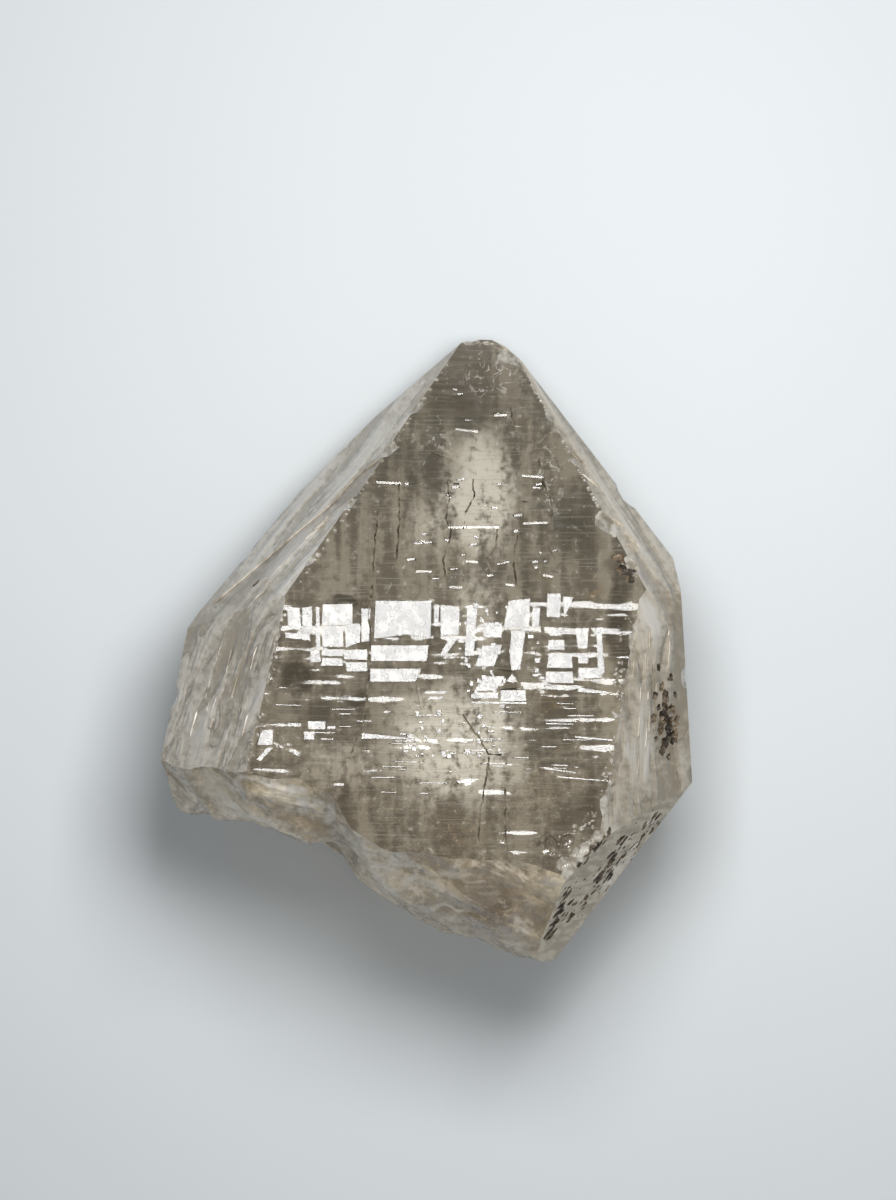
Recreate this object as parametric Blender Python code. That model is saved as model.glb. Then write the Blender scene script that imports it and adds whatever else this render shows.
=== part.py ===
# Quartz point: a single broken-off smoky crystal, lying on a small flat of its back.
# It is shaped in millimetres and becomes metres at the end. X runs across the crystal,
# Y from the broken base to the tip, and Z up from the table to the front window.

import math

import bmesh
import bpy
from mathutils import Matrix, Vector, noise

MM = 0.001
WIDTH = 57.0
LENGTH = 67.0
THICKNESS = 42.0
STOCK = 60.0

# Each flat face: how far it is turned round the length from facing up (positive to +X), how far
# it leans from square to the length towards the tip, in degrees, and a point that it holds.
FACES = {
    "front prism": (3.0, 8.0, (0.0, 0.0, 38.7)),
    "front point": (3.0, 46.0, (0.0, 5.0, 38.0)),
    "left point": (-66.4, 46.6, (-14.9, 5.8, 37.9)),
    "left prism": (-58.0, 15.4, (-19.2, -13.0, 41.5)),
    "right point": (59.0, 44.6, (19.4, 14.1, 27.6)),
    "right prism": (58.0, -3.8, (20.6, -8.9, 38.9)),
    "right flank": (95.0, 4.7, (26.9, 9.45, 24.5)),
    "back left tip": (-120.0, 45.4, (-3.6, 26.2, 7.7)),
    "back left point": (-120.0, 35.5, (-3.8, 26.5, 7.7)),
    "back left shoulder": (-120.0, 19.0, (-23.3, 5.0, 19.8)),
    "back left prism": (-120.0, 4.2, (-29.0, -12.6, 26.4)),
    "back right point": (118.0, 20.1, (19.0, 19.8, 17.2)),
    "back right prism": (124.0, 6.0, (27.6, -6.0, 12.0)),
    "back point": (180.0, 30.0, (4.0, 33.8, 8.4)),
    "back prism": (180.0, -7.0, (0.0, -11.0, 0.0)),
    "pitted base": (70.9, -37.4, (21.2, -19.4, 36.5)),
    "back right base": (118.0, -32.5, (20.9, -26.6, 26.0)),
    "worn tip": (20.0, 80.0, (5.0, 33.5, 8.4)),
    "chipped tip": (68.0, 57.9, (8.5, 32.4, 9.5)),
    "rest": (180.0, 0.0, (0.0, 0.0, 0.0)),
    "beyond the break": (0.0, -90.0, (0.0, -34.5, 0.0)),
}

# The broken base, seen from the front: across, where it leaves the front, and how far out it goes.
BREAK_LINE = (
    (-33.0, -11.0, -12.2),
    (-28.5, -12.4, -14.6),
    (-26.3, -12.9, -17.7),
    (-23.0, -13.1, -19.0),
    (-18.5, -13.4, -20.2),
    (-13.8, -14.2, -21.6),
    (-9.7, -16.4, -22.1),
    (-7.9, -19.4, -23.3),
    (-6.0, -20.9, -26.0),
    (-3.9, -21.9, -27.9),
    (-1.0, -22.3, -29.2),
    (3.0, -22.4, -31.7),
    (5.3, -22.3, -32.2),
    (8.4, -22.4, -33.3),
    (12.7, -22.9, -34.2),
    (17.0, -24.5, -35.0),
    (33.0, -27.0, -38.0),
)
BREAK_CELL = 1.15
BREAK_REACH = 36.0
BREAK_BULGE = 1.7  # how rounded the break is between the front and its furthest edge
UNDERCUT = 7.0  # how far the break runs back under, from its furthest edge to the table
UNDERCUT_BEND = 1.25
UNDERCUT_DRIFT = 0.35  # how far the break shifts across for each millimetre further down

# Shell-shaped scoops in the break: across, height, radius and depth.
SCOOPS = (
    (-25.0, 24.5, 5.0, 0.9),
    (-18.5, 32.0, 7.0, 1.4),
    (-12.0, 37.0, 6.0, 1.5),
    (-7.0, 29.0, 6.5, 1.5),
    (-1.5, 36.5, 6.0, 1.2),
    (4.5, 30.0, 7.0, 1.1),
    (9.5, 37.5, 5.0, 1.0),
    (-15.5, 18.0, 9.0, 2.2),
    (-3.0, 13.0, 10.0, 2.6),
    (8.5, 17.5, 8.5, 1.8),
    (-12.0, 5.0, 8.0, 1.6),
    (3.0, 3.5, 7.0, 1.4),
)
RIPPLE = 0.26
RIPPLE_PITCH = 4.2
ROUGHNESS = 0.3

# Growth plates, each a box on a face as the front view shows it: left, right, bottom, top, rise.
PLATES = {
    "front prism": (
        (-15.2, -13.4, 1.2, 4.2, 0.45),
        (-13.1, -12.0, 0.4, 4.6, 0.30),
        (-11.6, -8.6, -0.4, 4.7, 0.85),
        (-12.5, -9.3, -2.1, 0.6, 0.60),
        (-8.9, -6.1, -2.9, 2.4, 0.65),
        (-8.4, -6.3, 0.7, 4.3, 0.40),
        (-5.5, 0.8, 0.9, 5.2, 0.90),
        (-6.1, -0.3, -1.6, 1.4, 0.70),
        (-6.3, -0.8, -3.9, -2.3, 0.50),
        (0.3, 3.6, 0.8, 4.9, 0.60),
        (1.7, 4.4, -3.6, 0.1, 0.30),
        (4.8, 6.9, -1.3, 2.9, 0.45),
        (5.2, 8.6, -4.9, -0.7, 0.55),
        (6.2, 8.1, 0.2, 3.4, 0.75),
        (8.3, 11.2, 1.7, 5.5, 1.00),
        (8.9, 10.9, -1.9, 2.2, 0.65),
        (4.9, 10.9, -5.9, -3.9, 0.70),
        (13.1, 15.2, -0.8, 2.0, 0.45),
        (13.2, 15.9, -4.4, -1.3, 0.60),
        (15.0, 17.5, 0.1, 3.9, 0.35),
        (16.3, 19.2, -4.3, 0.7, 0.80),
        (17.9, 19.6, 0.4, 2.9, 0.55),
        (-18.2, -16.2, -12.3, -9.2, 0.50),
        (-14.8, -10.6, -9.4, -8.0, 0.40),
        (-16.5, -13.4, -6.6, -4.8, 0.30),
        (-4.0, 3.1, -10.6, -9.4, 0.25),
        (12.6, 19.0, -9.4, -8.1, 0.30),
        (11.4, 17.3, -14.6, -13.2, 0.25),
    ),
    "front point": (
        (2.2, 8.4, 6.9, 9.0, 0.50),
        (8.6, 9.8, 6.4, 8.4, 0.70),
        (13.0, 15.2, 6.6, 8.8, 0.80),
        (-2.7, 3.4, 9.5, 15.0, 0.25),
        (-9.1, -3.9, 8.2, 13.3, 0.30),
        (2.6, 9.4, 16.0, 21.3, 0.30),
    ),
    "back left prism": (
        (-24.6, -20.8, -9.4, -2.2, 0.50),
        (-22.8, -18.2, -4.6, 0.6, 0.35),
        (-20.4, -16.6, -13.0, -6.4, 0.45),
    ),
    "back right prism": (
        (20.8, 23.4, -4.4, 1.0, 0.25),
        (22.0, 24.2, -5.2, -1.8, 0.18),
    ),
    "back point": ((-0.8, 6.4, 22.6, 26.4, 0.40), (1.6, 8.8, 24.9, 28.4, 0.60)),
}
PLATE_TURN = -3.5  # degrees that the plates are turned on the face, to follow the crystal's length
PLATE_ROOT = 0.9

# Three-cornered plates on the front prism: the corners and the rise.
WEDGES = (
    ((7.7, -5.6), (11.3, -6.0), (9.5, -2.4), 0.95),
    ((-1.6, -3.5), (1.9, -6.6), (-0.5, -6.9), 0.55),
    ((-16.6, -9.3), (-14.4, -13.0), (-17.6, -13.4), 0.70),
    ((13.8, 6.1), (16.4, 6.0), (14.6, 3.2), 0.85),
    ((1.8, 0.9), (5.3, -0.3), (2.7, -2.2), 0.50),
)

# The long step on the left point: a sunken band between two lines, seen from the front.
BAND_OUTER = ((-3.6, 21.4), (-7.7, 18.4), (-10.1, 15.6), (-13.9, 12.5), (-18.2, 8.8), (-23.2, 4.6))
BAND_INNER = ((-3.9, 20.2), (-7.2, 16.6), (-10.6, 14.0), (-13.2, 11.3), (-16.4, 8.1), (-20.4, 4.4))
BAND_DEPTH = 0.45

# Growth ribs that run down the prism: the face, across at the top and at the bottom, where the
# top and bottom are, width and rise.
RIBS = (
    ("left prism", -17.4, -20.6, 3.6, -12.2, 1.5, 0.35),
    ("left prism", -19.6, -22.7, 2.2, -12.6, 1.0, 0.25),
    ("left prism", -21.5, -24.4, 2.0, -11.4, 1.7, 0.40),
    ("left prism", -23.7, -26.6, -0.6, -12.0, 1.1, 0.30),
    ("right prism", 23.2, 22.3, 3.0, -14.0, 1.3, 0.35),
    ("right prism", 25.0, 25.3, 3.6, -12.0, 1.0, 0.30),
)
RIB_PARTS = 5

# Chips along the edges: the two faces that meet, where, the radius of the hollow and its depth.
CHIPS = (
    ("front point", "left point", -0.9, 26.0, 4.0, 0.45),
    ("front point", "left point", -3.9, 21.2, 5.0, 0.60),
    ("front point", "left point", -8.3, 15.3, 4.0, 0.45),
    ("front point", "left point", -12.4, 9.1, 3.5, 0.40),
    ("front point", "right point", 13.6, 24.8, 4.0, 0.50),
    ("front point", "right point", 16.2, 20.0, 3.5, 0.45),
    ("front point", "right point", 19.7, 13.2, 6.0, 1.10),
    ("front point", "right point", 22.3, 8.6, 5.0, 0.80),
    ("front prism", "left prism", -16.0, 0.9, 3.0, 0.35),
    ("front prism", "left prism", -17.7, -5.5, 4.0, 0.50),
    ("front prism", "left prism", -19.0, -11.5, 4.5, 0.80),
    ("front prism", "right prism", 22.3, 0.6, 3.5, 0.45),
    ("front prism", "right prism", 21.2, -6.0, 3.0, 0.40),
    ("front prism", "right prism", 20.3, -12.2, 4.0, 0.60),
    ("front prism", "right prism", 19.3, -17.4, 5.0, 0.90),
    ("front prism", "pitted base", 15.7, -23.4, 4.5, 1.00),
    ("front point", "chipped tip", 8.6, 31.2, 3.0, 0.60),
    ("front point", "worn tip", 4.9, 33.2, 2.4, 0.50),
    ("left point", "back left point", -10.2, 20.6, 5.0, 0.45),
    ("left point", "back left shoulder", -19.4, 9.9, 4.0, 0.45),
    ("left prism", "back left prism", -27.2, -5.6, 4.0, 0.50),
    ("right point", "back right point", 21.4, 16.2, 4.5, 0.45),
    ("right prism", "right flank", 27.9, -3.5, 4.0, 0.40),
    ("back left prism", "back prism", -15.8, -18.0, 6.0, 1.20),
    ("back right prism", "rest", 18.6, -1.0, 6.0, 1.00),
)

# Pits: the face, where it is seen from the front, its radius and its depth.
PITS = (
    ("right prism", 26.1, -7.2, 1.5, 1.1),
    ("right prism", 26.7, -9.6, 1.2, 1.0),
    ("right prism", 25.7, -5.3, 0.8, 0.7),
    ("front point", 21.6, 8.2, 1.3, 0.9),
    ("front point", 20.6, 10.2, 0.8, 0.6),
    ("left point", -18.5, 6.9, 0.45, 0.5),
    ("front prism", 13.2, -21.4, 1.2, 0.9),
    ("front prism", 15.3, -20.8, 0.8, 0.7),
)
SMALL_PITS = 34
SMALL_PIT = (0.35, 0.85)  # smallest and largest radius on the pitted base
PITTED_STRETCH = ((14.6, -28.6), (24.8, -18.6))  # the line that the small pits scatter about
PITTED_SPREAD = 1.9

SMOKY = (0.36, 0.31, 0.25, 1.0)


def clear_scene():
    for thing in list(bpy.data.objects):
        bpy.data.objects.remove(thing, do_unlink=True)


def facing(face):
    """The outward direction of a face."""
    turn, lean = (math.radians(angle) for angle in FACES[face][:2])
    return Vector((math.cos(lean) * math.sin(turn), math.sin(lean), math.cos(lean) * math.cos(turn)))


def on_face(face, x, y):
    """The point of a face that the front view shows at x, y."""
    normal = facing(face)
    through = Vector(FACES[face][2])
    z = through.z - (normal.x * (x - through.x) + normal.y * (y - through.y)) / normal.z
    return Vector((x, y, z))


def object_from(name, bm):
    mesh = bpy.data.meshes.new(name)
    bm.normal_update()
    bm.to_mesh(mesh)
    bm.free()
    thing = bpy.data.objects.new(name, mesh)
    bpy.context.scene.collection.objects.link(thing)
    return thing


def helper_from(name, bm):
    """A solid that only cuts or is joined on, and isn't a piece itself."""
    thing = object_from(name, bm)
    thing.hide_render = True
    thing.display_type = "WIRE"
    return thing


def faceted_crystal():
    """A block of stock, cut along every flat face of the crystal."""
    bm = bmesh.new()
    bmesh.ops.create_cube(bm, size=2 * STOCK)
    for face, (_, _, through) in FACES.items():
        cut = bmesh.ops.bisect_plane(
            bm,
            geom=bm.verts[:] + bm.edges[:] + bm.faces[:],
            dist=1e-5,
            plane_co=Vector(through),
            plane_no=facing(face),
            clear_outer=True,
        )
        rim = [part for part in cut["geom_cut"] if isinstance(part, bmesh.types.BMEdge)]
        bmesh.ops.contextual_create(bm, geom=rim)
    bmesh.ops.recalc_face_normals(bm, faces=bm.faces[:])
    return object_from("quartz_point", bm)


def read_between(stations, x, column):
    """One column of a list of stations, read at x."""
    for near, far in zip(stations, stations[1:]):
        if x <= far[0]:
            share = max(0.0, (x - near[0]) / (far[0] - near[0]))
            return near[column] + share * (far[column] - near[column])
    return stations[-1][column]


def break_depth(x, z):
    """How far along the crystal the broken base lies, at a place across it and a height."""
    below = max(0.0, 27.0 - z)
    leaves = read_between(BREAK_LINE, x, 1)
    furthest = read_between(BREAK_LINE, x + UNDERCUT_DRIFT * below, 2)
    top = min(THICKNESS, 27.0 + 1.6 * max(0.0, x + 28.5))
    middle = top - 15.0 + 7.0 * max(0.0, min(1.0, -x / 28.0))
    if z >= middle:
        rise = min(1.0, (z - middle) / (top - middle))
        y = furthest + (leaves - furthest) * rise**BREAK_BULGE
    else:
        y = furthest + UNDERCUT * ((middle - z) / middle) ** UNDERCUT_BEND
    scooped = 0.0
    for across, height, radius, depth in SCOOPS:
        near = math.hypot(x - across, z - height) / radius
        if near < 1.0:
            ripple = RIPPLE * math.sin(2 * math.pi * near * radius / RIPPLE_PITCH)
            shell = depth * (1.0 - near * near) + 2 * ripple * near * (1.0 - near)
            scooped = max(scooped, shell)
    rough = ROUGHNESS * noise.noise(Vector((x * 0.3, z * 0.3, 3.0)))
    return y + scooped + max(rough, -0.1)


def past_the_break():
    """Everything past the broken base, as a block with the break for its inner side."""
    bm = bmesh.new()
    across = math.ceil(2 * BREAK_REACH / BREAK_CELL)
    up = math.ceil(1.3 * THICKNESS / BREAK_CELL)
    rows = []
    for j in range(up + 1):
        z = (j - 3) * BREAK_CELL
        places = [-BREAK_REACH + i * BREAK_CELL for i in range(across + 1)]
        rows.append([bm.verts.new((x, break_depth(x, z), z)) for x in places])
    for low, high in zip(rows, rows[1:]):
        for i in range(across):
            bm.faces.new((low[i], high[i], high[i + 1], low[i + 1]))
    rim = [edge for edge in bm.edges if edge.is_boundary]
    skirt = bmesh.ops.extrude_edge_only(bm, edges=rim)["geom"]
    for vert in (part for part in skirt if isinstance(part, bmesh.types.BMVert)):
        vert.co.y = -STOCK
    bmesh.ops.holes_fill(bm, edges=[edge for edge in bm.edges if edge.is_boundary], sides=0)
    bmesh.ops.triangulate(bm, faces=bm.faces[:])
    bmesh.ops.recalc_face_normals(bm, faces=bm.faces[:])
    return helper_from("past_the_break", bm)


def add_prism(bm, face, outline, low, high):
    """A prism on a face of the crystal: its outline is given as the front view shows it."""
    normal = facing(face)
    floor = [bm.verts.new(on_face(face, x, y) + normal * low) for x, y in outline]
    roof = [bm.verts.new(on_face(face, x, y) + normal * high) for x, y in outline]
    sides = [bm.faces.new(roof), bm.faces.new(list(reversed(floor)))]
    for i in range(len(outline)):
        j = (i + 1) % len(outline)
        sides.append(bm.faces.new((floor[i], floor[j], roof[j], roof[i])))
    bmesh.ops.recalc_face_normals(bm, faces=sides)


def turned_box(left, right, bottom, top, turn):
    middle = Vector(((left + right) / 2, (bottom + top) / 2))
    corners = ((left, bottom), (right, bottom), (right, top), (left, top))
    spin = Matrix.Rotation(math.radians(turn), 2)
    return [tuple(middle + spin @ (Vector(corner) - middle)) for corner in corners]


def rib_outline(top_x, low_x, top, bottom, width):
    """A long tapering outline with slightly wandering sides."""
    left, right = [], []
    for i in range(RIB_PARTS + 1):
        share = i / RIB_PARTS
        half = width / 2 * math.sin(math.pi * (0.12 + 0.76 * share)) ** 0.5
        wander = 0.25 * noise.noise(Vector((top_x, share * 3.1, 2.0)))
        x = top_x + (low_x - top_x) * share + wander
        y = top + (bottom - top) * share
        left.append((x - half, y))
        right.append((x + half, y))
    return left + list(reversed(right))


def growth():
    """The plates, wedges and ribs that stand proud of the flat faces, rooted in the crystal."""
    bm = bmesh.new()
    for face, plates in PLATES.items():
        for index, (left, right, bottom, top, rise) in enumerate(plates):
            outline = turned_box(left, right, bottom, top, PLATE_TURN + 0.7 * (index % 3))
            add_prism(bm, face, outline, -PLATE_ROOT, rise)
    for *outline, rise in WEDGES:
        add_prism(bm, "front prism", outline, -PLATE_ROOT, rise)
    for face, top_x, low_x, top, bottom, width, rise in RIBS:
        add_prism(bm, face, rib_outline(top_x, low_x, top, bottom, width), -PLATE_ROOT, rise)
    return helper_from("growth", bm)


def add_ball(bm, centre, direction, radius, depth, subdivisions, ragged, seed):
    """A rough ball, flattened along a direction."""
    lie = Vector((0, 0, 1)).rotation_difference(direction).to_matrix()
    for vert in bmesh.ops.create_icosphere(bm, subdivisions=subdivisions, radius=1.0)["verts"]:
        swell = 1.0 + ragged * noise.noise(vert.co * 1.7 + Vector((seed * 3.7, seed, 0)))
        vert.co = centre + lie @ (Vector((radius, radius, depth)) * vert.co * swell)


def hollows():
    """Everything that is missing from the flat faces: pits, edge chips and the sunken band."""
    bm = bmesh.new()
    for seed, (face, x, y, radius, depth) in enumerate(PITS):
        add_ball(bm, on_face(face, x, y), facing(face), radius, depth, 1, 0.28, seed)
    start, end = (Vector(corner) for corner in PITTED_STRETCH)
    along = (end - start).normalized()
    across = Vector((along.y, -along.x))
    smallest, largest = SMALL_PIT
    for i in range(SMALL_PITS):
        scatter = 2.0 * noise.noise(Vector((i * 1.37, 0.5, 8.0)))
        place = start.lerp(end, (i + 0.5) / SMALL_PITS) + across * (scatter * PITTED_SPREAD)
        size = smallest + (largest - smallest) * abs(noise.noise(Vector((i * 2.11, 4.5, 1.0)))) * 1.6
        centre = on_face("pitted base", place.x, place.y)
        add_ball(bm, centre, facing("pitted base"), size, size * 0.7, 1, 0.28, i + 40)
    for seed, (first, second, x, y, radius, bite) in enumerate(CHIPS):
        direction = (facing(first) + facing(second)).normalized()
        centre = on_face(first, x, y) + direction * (radius - bite)
        add_ball(bm, centre, direction, radius, radius, 2, 0.05, seed + 90)
    outline = list(BAND_OUTER) + list(reversed(BAND_INNER))
    add_prism(bm, "left point", outline, -BAND_DEPTH, 2.0)
    return helper_from("hollows", bm)


def add_boolean(thing, operation, other, itself=False):
    boolean = thing.modifiers.new(other.name, "BOOLEAN")
    boolean.operation = operation
    boolean.object = other
    boolean.solver = "EXACT"
    boolean.use_self = itself


def smoky_quartz():
    material = bpy.data.materials.new("smoky quartz")
    material.use_nodes = True
    shader = material.node_tree.nodes["Principled BSDF"]
    shader.inputs["Base Color"].default_value = SMOKY
    shader.inputs["Roughness"].default_value = 0.12
    shader.inputs["Metallic"].default_value = 0.0
    shader.inputs["IOR"].default_value = 1.544
    shader.inputs["Transmission Weight"].default_value = 0.85
    material.diffuse_color = SMOKY
    return material


def finish(crystal, helpers):
    """Applies the cuts, stands the crystal over the origin at its full size, and clears up."""
    bpy.context.view_layer.update()
    evaluated = crystal.evaluated_get(bpy.context.evaluated_depsgraph_get())
    mesh = bpy.data.meshes.new_from_object(evaluated)
    crystal.modifiers.clear()
    crystal.data = mesh
    mesh.name = "quartz_point"
    for helper in helpers:
        bpy.data.objects.remove(helper, do_unlink=True)
    low = Vector(min(vert.co[axis] for vert in mesh.vertices) for axis in range(3))
    high = Vector(max(vert.co[axis] for vert in mesh.vertices) for axis in range(3))
    footprint = Vector(((low.x + high.x) / 2, (low.y + high.y) / 2, low.z))
    size = high - low
    exact = Matrix.Diagonal((WIDTH / size.x, LENGTH / size.y, THICKNESS / size.z, 1.0))
    mesh.transform(Matrix.Scale(MM, 4) @ exact @ Matrix.Translation(-footprint))
    mesh.materials.clear()
    mesh.materials.append(smoky_quartz())


def main():
    clear_scene()
    crystal = faceted_crystal()
    plates = growth()
    broken = past_the_break()
    missing = hollows()
    add_boolean(crystal, "UNION", plates, itself=True)
    add_boolean(crystal, "DIFFERENCE", broken)
    add_boolean(crystal, "DIFFERENCE", missing, itself=True)
    finish(crystal, (plates, broken, missing))


main()
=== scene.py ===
# Quartz point, dressed for its photograph: a smoky crystal lying on its back, seen from above.
# Its shapes are worked out in millimetres, as the crystal is measured, and set into the frame's
# box at the end. X runs across the crystal, Y towards its tip, Z up through its front window.

import math

import bmesh
import bpy
from mathutils import Matrix, Vector, noise


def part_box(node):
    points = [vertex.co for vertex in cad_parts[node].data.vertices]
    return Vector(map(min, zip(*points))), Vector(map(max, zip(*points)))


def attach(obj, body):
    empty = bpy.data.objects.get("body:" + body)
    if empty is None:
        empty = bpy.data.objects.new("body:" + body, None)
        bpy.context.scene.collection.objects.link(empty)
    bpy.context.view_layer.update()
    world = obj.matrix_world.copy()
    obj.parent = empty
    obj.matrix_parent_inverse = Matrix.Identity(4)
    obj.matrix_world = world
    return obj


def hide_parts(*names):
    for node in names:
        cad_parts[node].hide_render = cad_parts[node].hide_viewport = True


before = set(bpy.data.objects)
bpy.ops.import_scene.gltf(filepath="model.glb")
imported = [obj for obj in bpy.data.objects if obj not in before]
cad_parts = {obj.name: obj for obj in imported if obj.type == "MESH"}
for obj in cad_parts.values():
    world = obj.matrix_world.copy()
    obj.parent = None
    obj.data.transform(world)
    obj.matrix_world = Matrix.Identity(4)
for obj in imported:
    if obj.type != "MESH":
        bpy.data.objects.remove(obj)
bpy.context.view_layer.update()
print("frame loaded")

mm = 0.001

finishes = {
    # dark and pale tone, how clear and how rough, how deep its relief is in millimetres, and the grain:
    # how fast it changes along x, y and z, across its lines and along them, and how it bends on the point
    "window": {
        "dark": (0.220, 0.184, 0.130), "pale": (0.450, 0.390, 0.285), "clear": 0.45, "rough": 0.07, "relief": 0.0,
        "across": (0.55, 0.0, 0.0), "along": (0.0, 0.08, 0.0), "bend": 0.0,
    },
    "plate": {
        "dark": (0.10, 0.086, 0.062), "pale": (0.42, 0.385, 0.33), "clear": 0.4, "rough": 0.04, "relief": 0.0,
        "across": (0.9, 0.2, 0.0), "along": (-0.1, 0.7, 0.0), "bend": 0.0,
    },
    "left": {
        "dark": (0.48, 0.415, 0.315), "pale": (0.90, 0.83, 0.715), "clear": 0.2, "rough": 0.3, "relief": 1.1,
        "across": (0.45, -0.17, 0.03), "along": (0.02, 0.10, 0.03), "bend": -0.20,
    },
    "band": {
        "dark": (0.40, 0.345, 0.265), "pale": (0.74, 0.67, 0.57), "clear": 0.15, "rough": 0.3, "relief": 0.9,
        "across": (0.45, -0.17, 0.03), "along": (0.02, 0.10, 0.03), "bend": -0.20,
    },
    "right": {
        "dark": (0.34, 0.285, 0.20), "pale": (0.66, 0.585, 0.465), "clear": 0.14, "rough": 0.3, "relief": 1.1,
        "across": (0.38, 0.03, -0.03), "along": (0.0, 0.09, 0.04), "bend": 0.18,
    },
    "back": {
        "dark": (0.36, 0.305, 0.225), "pale": (0.58, 0.53, 0.43), "clear": 0.25, "rough": 0.25, "relief": 0.7,
        "across": (0.10, 0.09, 0.05), "along": (0.04, 0.36, 0.16), "bend": 0.0,
    },
    "pitted": {
        "dark": (0.42, 0.35, 0.245), "pale": (0.70, 0.61, 0.46), "clear": 0.1, "rough": 0.4, "relief": 0.4,
        "across": (0.8, 0.1, 0.1), "along": (0.2, 0.8, 0.2), "bend": 0.0,
    },
    "broken": {
        "dark": (0.45, 0.355, 0.230), "pale": (0.93, 0.79, 0.57), "clear": 0.3, "rough": 0.18, "relief": 1.2,
        "across": (0.10, 0.22, 0.03), "along": (0.10, -0.08, 0.03), "bend": 0.0,
    },
    "chip": {
        "dark": (0.40, 0.35, 0.265), "pale": (0.80, 0.75, 0.66), "clear": 0.35, "rough": 0.12, "relief": 0.2,
        "across": (1.1, 0.2, 0.2), "along": (0.3, 1.1, 0.2), "bend": 0.0,
    },
    "seam": {
        "dark": (0.09, 0.072, 0.048), "pale": (0.34, 0.29, 0.21), "clear": 0.2, "rough": 0.2, "relief": 0.0,
        "across": (0.7, 0.0, 0.0), "along": (0.0, 0.7, 0.0), "bend": 0.0,
    },
    "pit": {
        "dark": (0.035, 0.026, 0.018), "pale": (0.24, 0.175, 0.11), "clear": 0.05, "rough": 0.5, "relief": 0.2,
        "across": (1.1, 0.2, 0.2), "along": (0.3, 1.1, 0.2), "bend": 0.0,
    },
}

crystal = {
    # turn round the length from facing up, lean towards the tip, a point on the face, its finish
    "faces": {
        "frontPrism": (3.0, 8.0, (0.0, 0.0, 38.7), "window"),
        "frontPoint": (3.0, 46.0, (0.0, 5.0, 38.0), "window"),
        "leftPoint": (-66.4, 46.6, (-14.9, 5.8, 37.9), "left"),
        "leftPrism": (-58.0, 15.4, (-19.2, -13.0, 41.5), "left"),
        "rightPoint": (59.0, 44.6, (19.4, 14.1, 27.6), "right"),
        "rightPrism": (58.0, -3.8, (20.6, -8.9, 38.9), "right"),
        "rightFlank": (95.0, 4.7, (26.9, 9.45, 24.5), "right"),
        "backLeftTip": (-120.0, 45.4, (-3.6, 26.2, 7.7), "back"),
        "backLeftPoint": (-120.0, 35.5, (-3.8, 26.5, 7.7), "back"),
        "backLeftShoulder": (-120.0, 19.0, (-23.3, 5.0, 19.8), "back"),
        "backLeftPrism": (-120.0, 4.2, (-29.0, -12.6, 26.4), "back"),
        "backRightPoint": (118.0, 20.1, (19.0, 19.8, 17.2), "back"),
        "backRightPrism": (124.0, 6.0, (27.6, -6.0, 12.0), "back"),
        "backPoint": (180.0, 30.0, (4.0, 33.8, 8.4), "back"),
        "backPrism": (180.0, -7.0, (0.0, -11.0, 0.0), "back"),
        "pittedBase": (70.9, -37.4, (21.2, -19.4, 36.5), "pitted"),
        "backRightBase": (118.0, -32.5, (20.9, -26.6, 26.0), "pitted"),
        "wornTip": (20.0, 80.0, (5.0, 33.5, 8.4), "broken"),
        "chippedTip": (68.0, 57.9, (8.5, 32.4, 9.5), "broken"),
        "rest": (180.0, 0.0, (0.0, 0.0, 0.0), "back"),
        "beyondTheBreak": (0.0, -90.0, (0.0, -34.5, 0.0), "broken"),
    },
    "stock": 60.0,
}


def facing(face):
    turn, lean = (math.radians(angle) for angle in crystal["faces"][face][:2])
    return Vector((math.cos(lean) * math.sin(turn), math.sin(lean), math.cos(lean) * math.cos(turn)))


def onFace(face, x, y, lift=0.0):
    normal = facing(face)
    through = Vector(crystal["faces"][face][2])
    z = through.z - (normal.x * (x - through.x) + normal.y * (y - through.y)) / normal.z
    return Vector((x, y, z)) + normal * lift


def lyingOn(face, turn=0.0):
    # the turn of a thing that lies on a face with its length towards the tip
    normal = facing(face)
    up = (Vector((0, 1, 0)) - normal * normal.y).normalized()
    frameOfFace = Matrix((up.cross(normal), up, normal)).transposed()
    return (frameOfFace @ Matrix.Rotation(math.radians(turn), 3, "Z")).to_euler()


def finishMaterial(finish):
    return bpy.data.materials.get(finish) or bpy.data.materials.new(finish)


def objectFrom(name, bm, used=tuple(finishes)):
    mesh = bpy.data.meshes.new(name)
    bm.normal_update()
    bm.to_mesh(mesh)
    bm.free()
    for finish in used:
        mesh.materials.append(finishMaterial(finish))
    made = bpy.data.objects.new(name, mesh)
    bpy.context.scene.collection.objects.link(made)
    return made


def finishOf(finish):
    return list(finishes).index(finish)


def facetedCrystal():
    # a block of stock, cut along every flat face
    bm = bmesh.new()
    bmesh.ops.create_cube(bm, size=2 * crystal["stock"])
    for face, (_, _, through, finish) in crystal["faces"].items():
        everything = bm.verts[:] + bm.edges[:] + bm.faces[:]
        cut = bmesh.ops.bisect_plane(
            bm, geom=everything, dist=1e-5, plane_co=Vector(through), plane_no=facing(face), clear_outer=True
        )
        rim = [part for part in cut["geom_cut"] if isinstance(part, bmesh.types.BMEdge)]
        for made in bmesh.ops.contextual_create(bm, geom=rim)["faces"]:
            made.material_index = finishOf(finish)
    bmesh.ops.recalc_face_normals(bm, faces=bm.faces[:])
    return objectFrom("quartz", bm)


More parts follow.
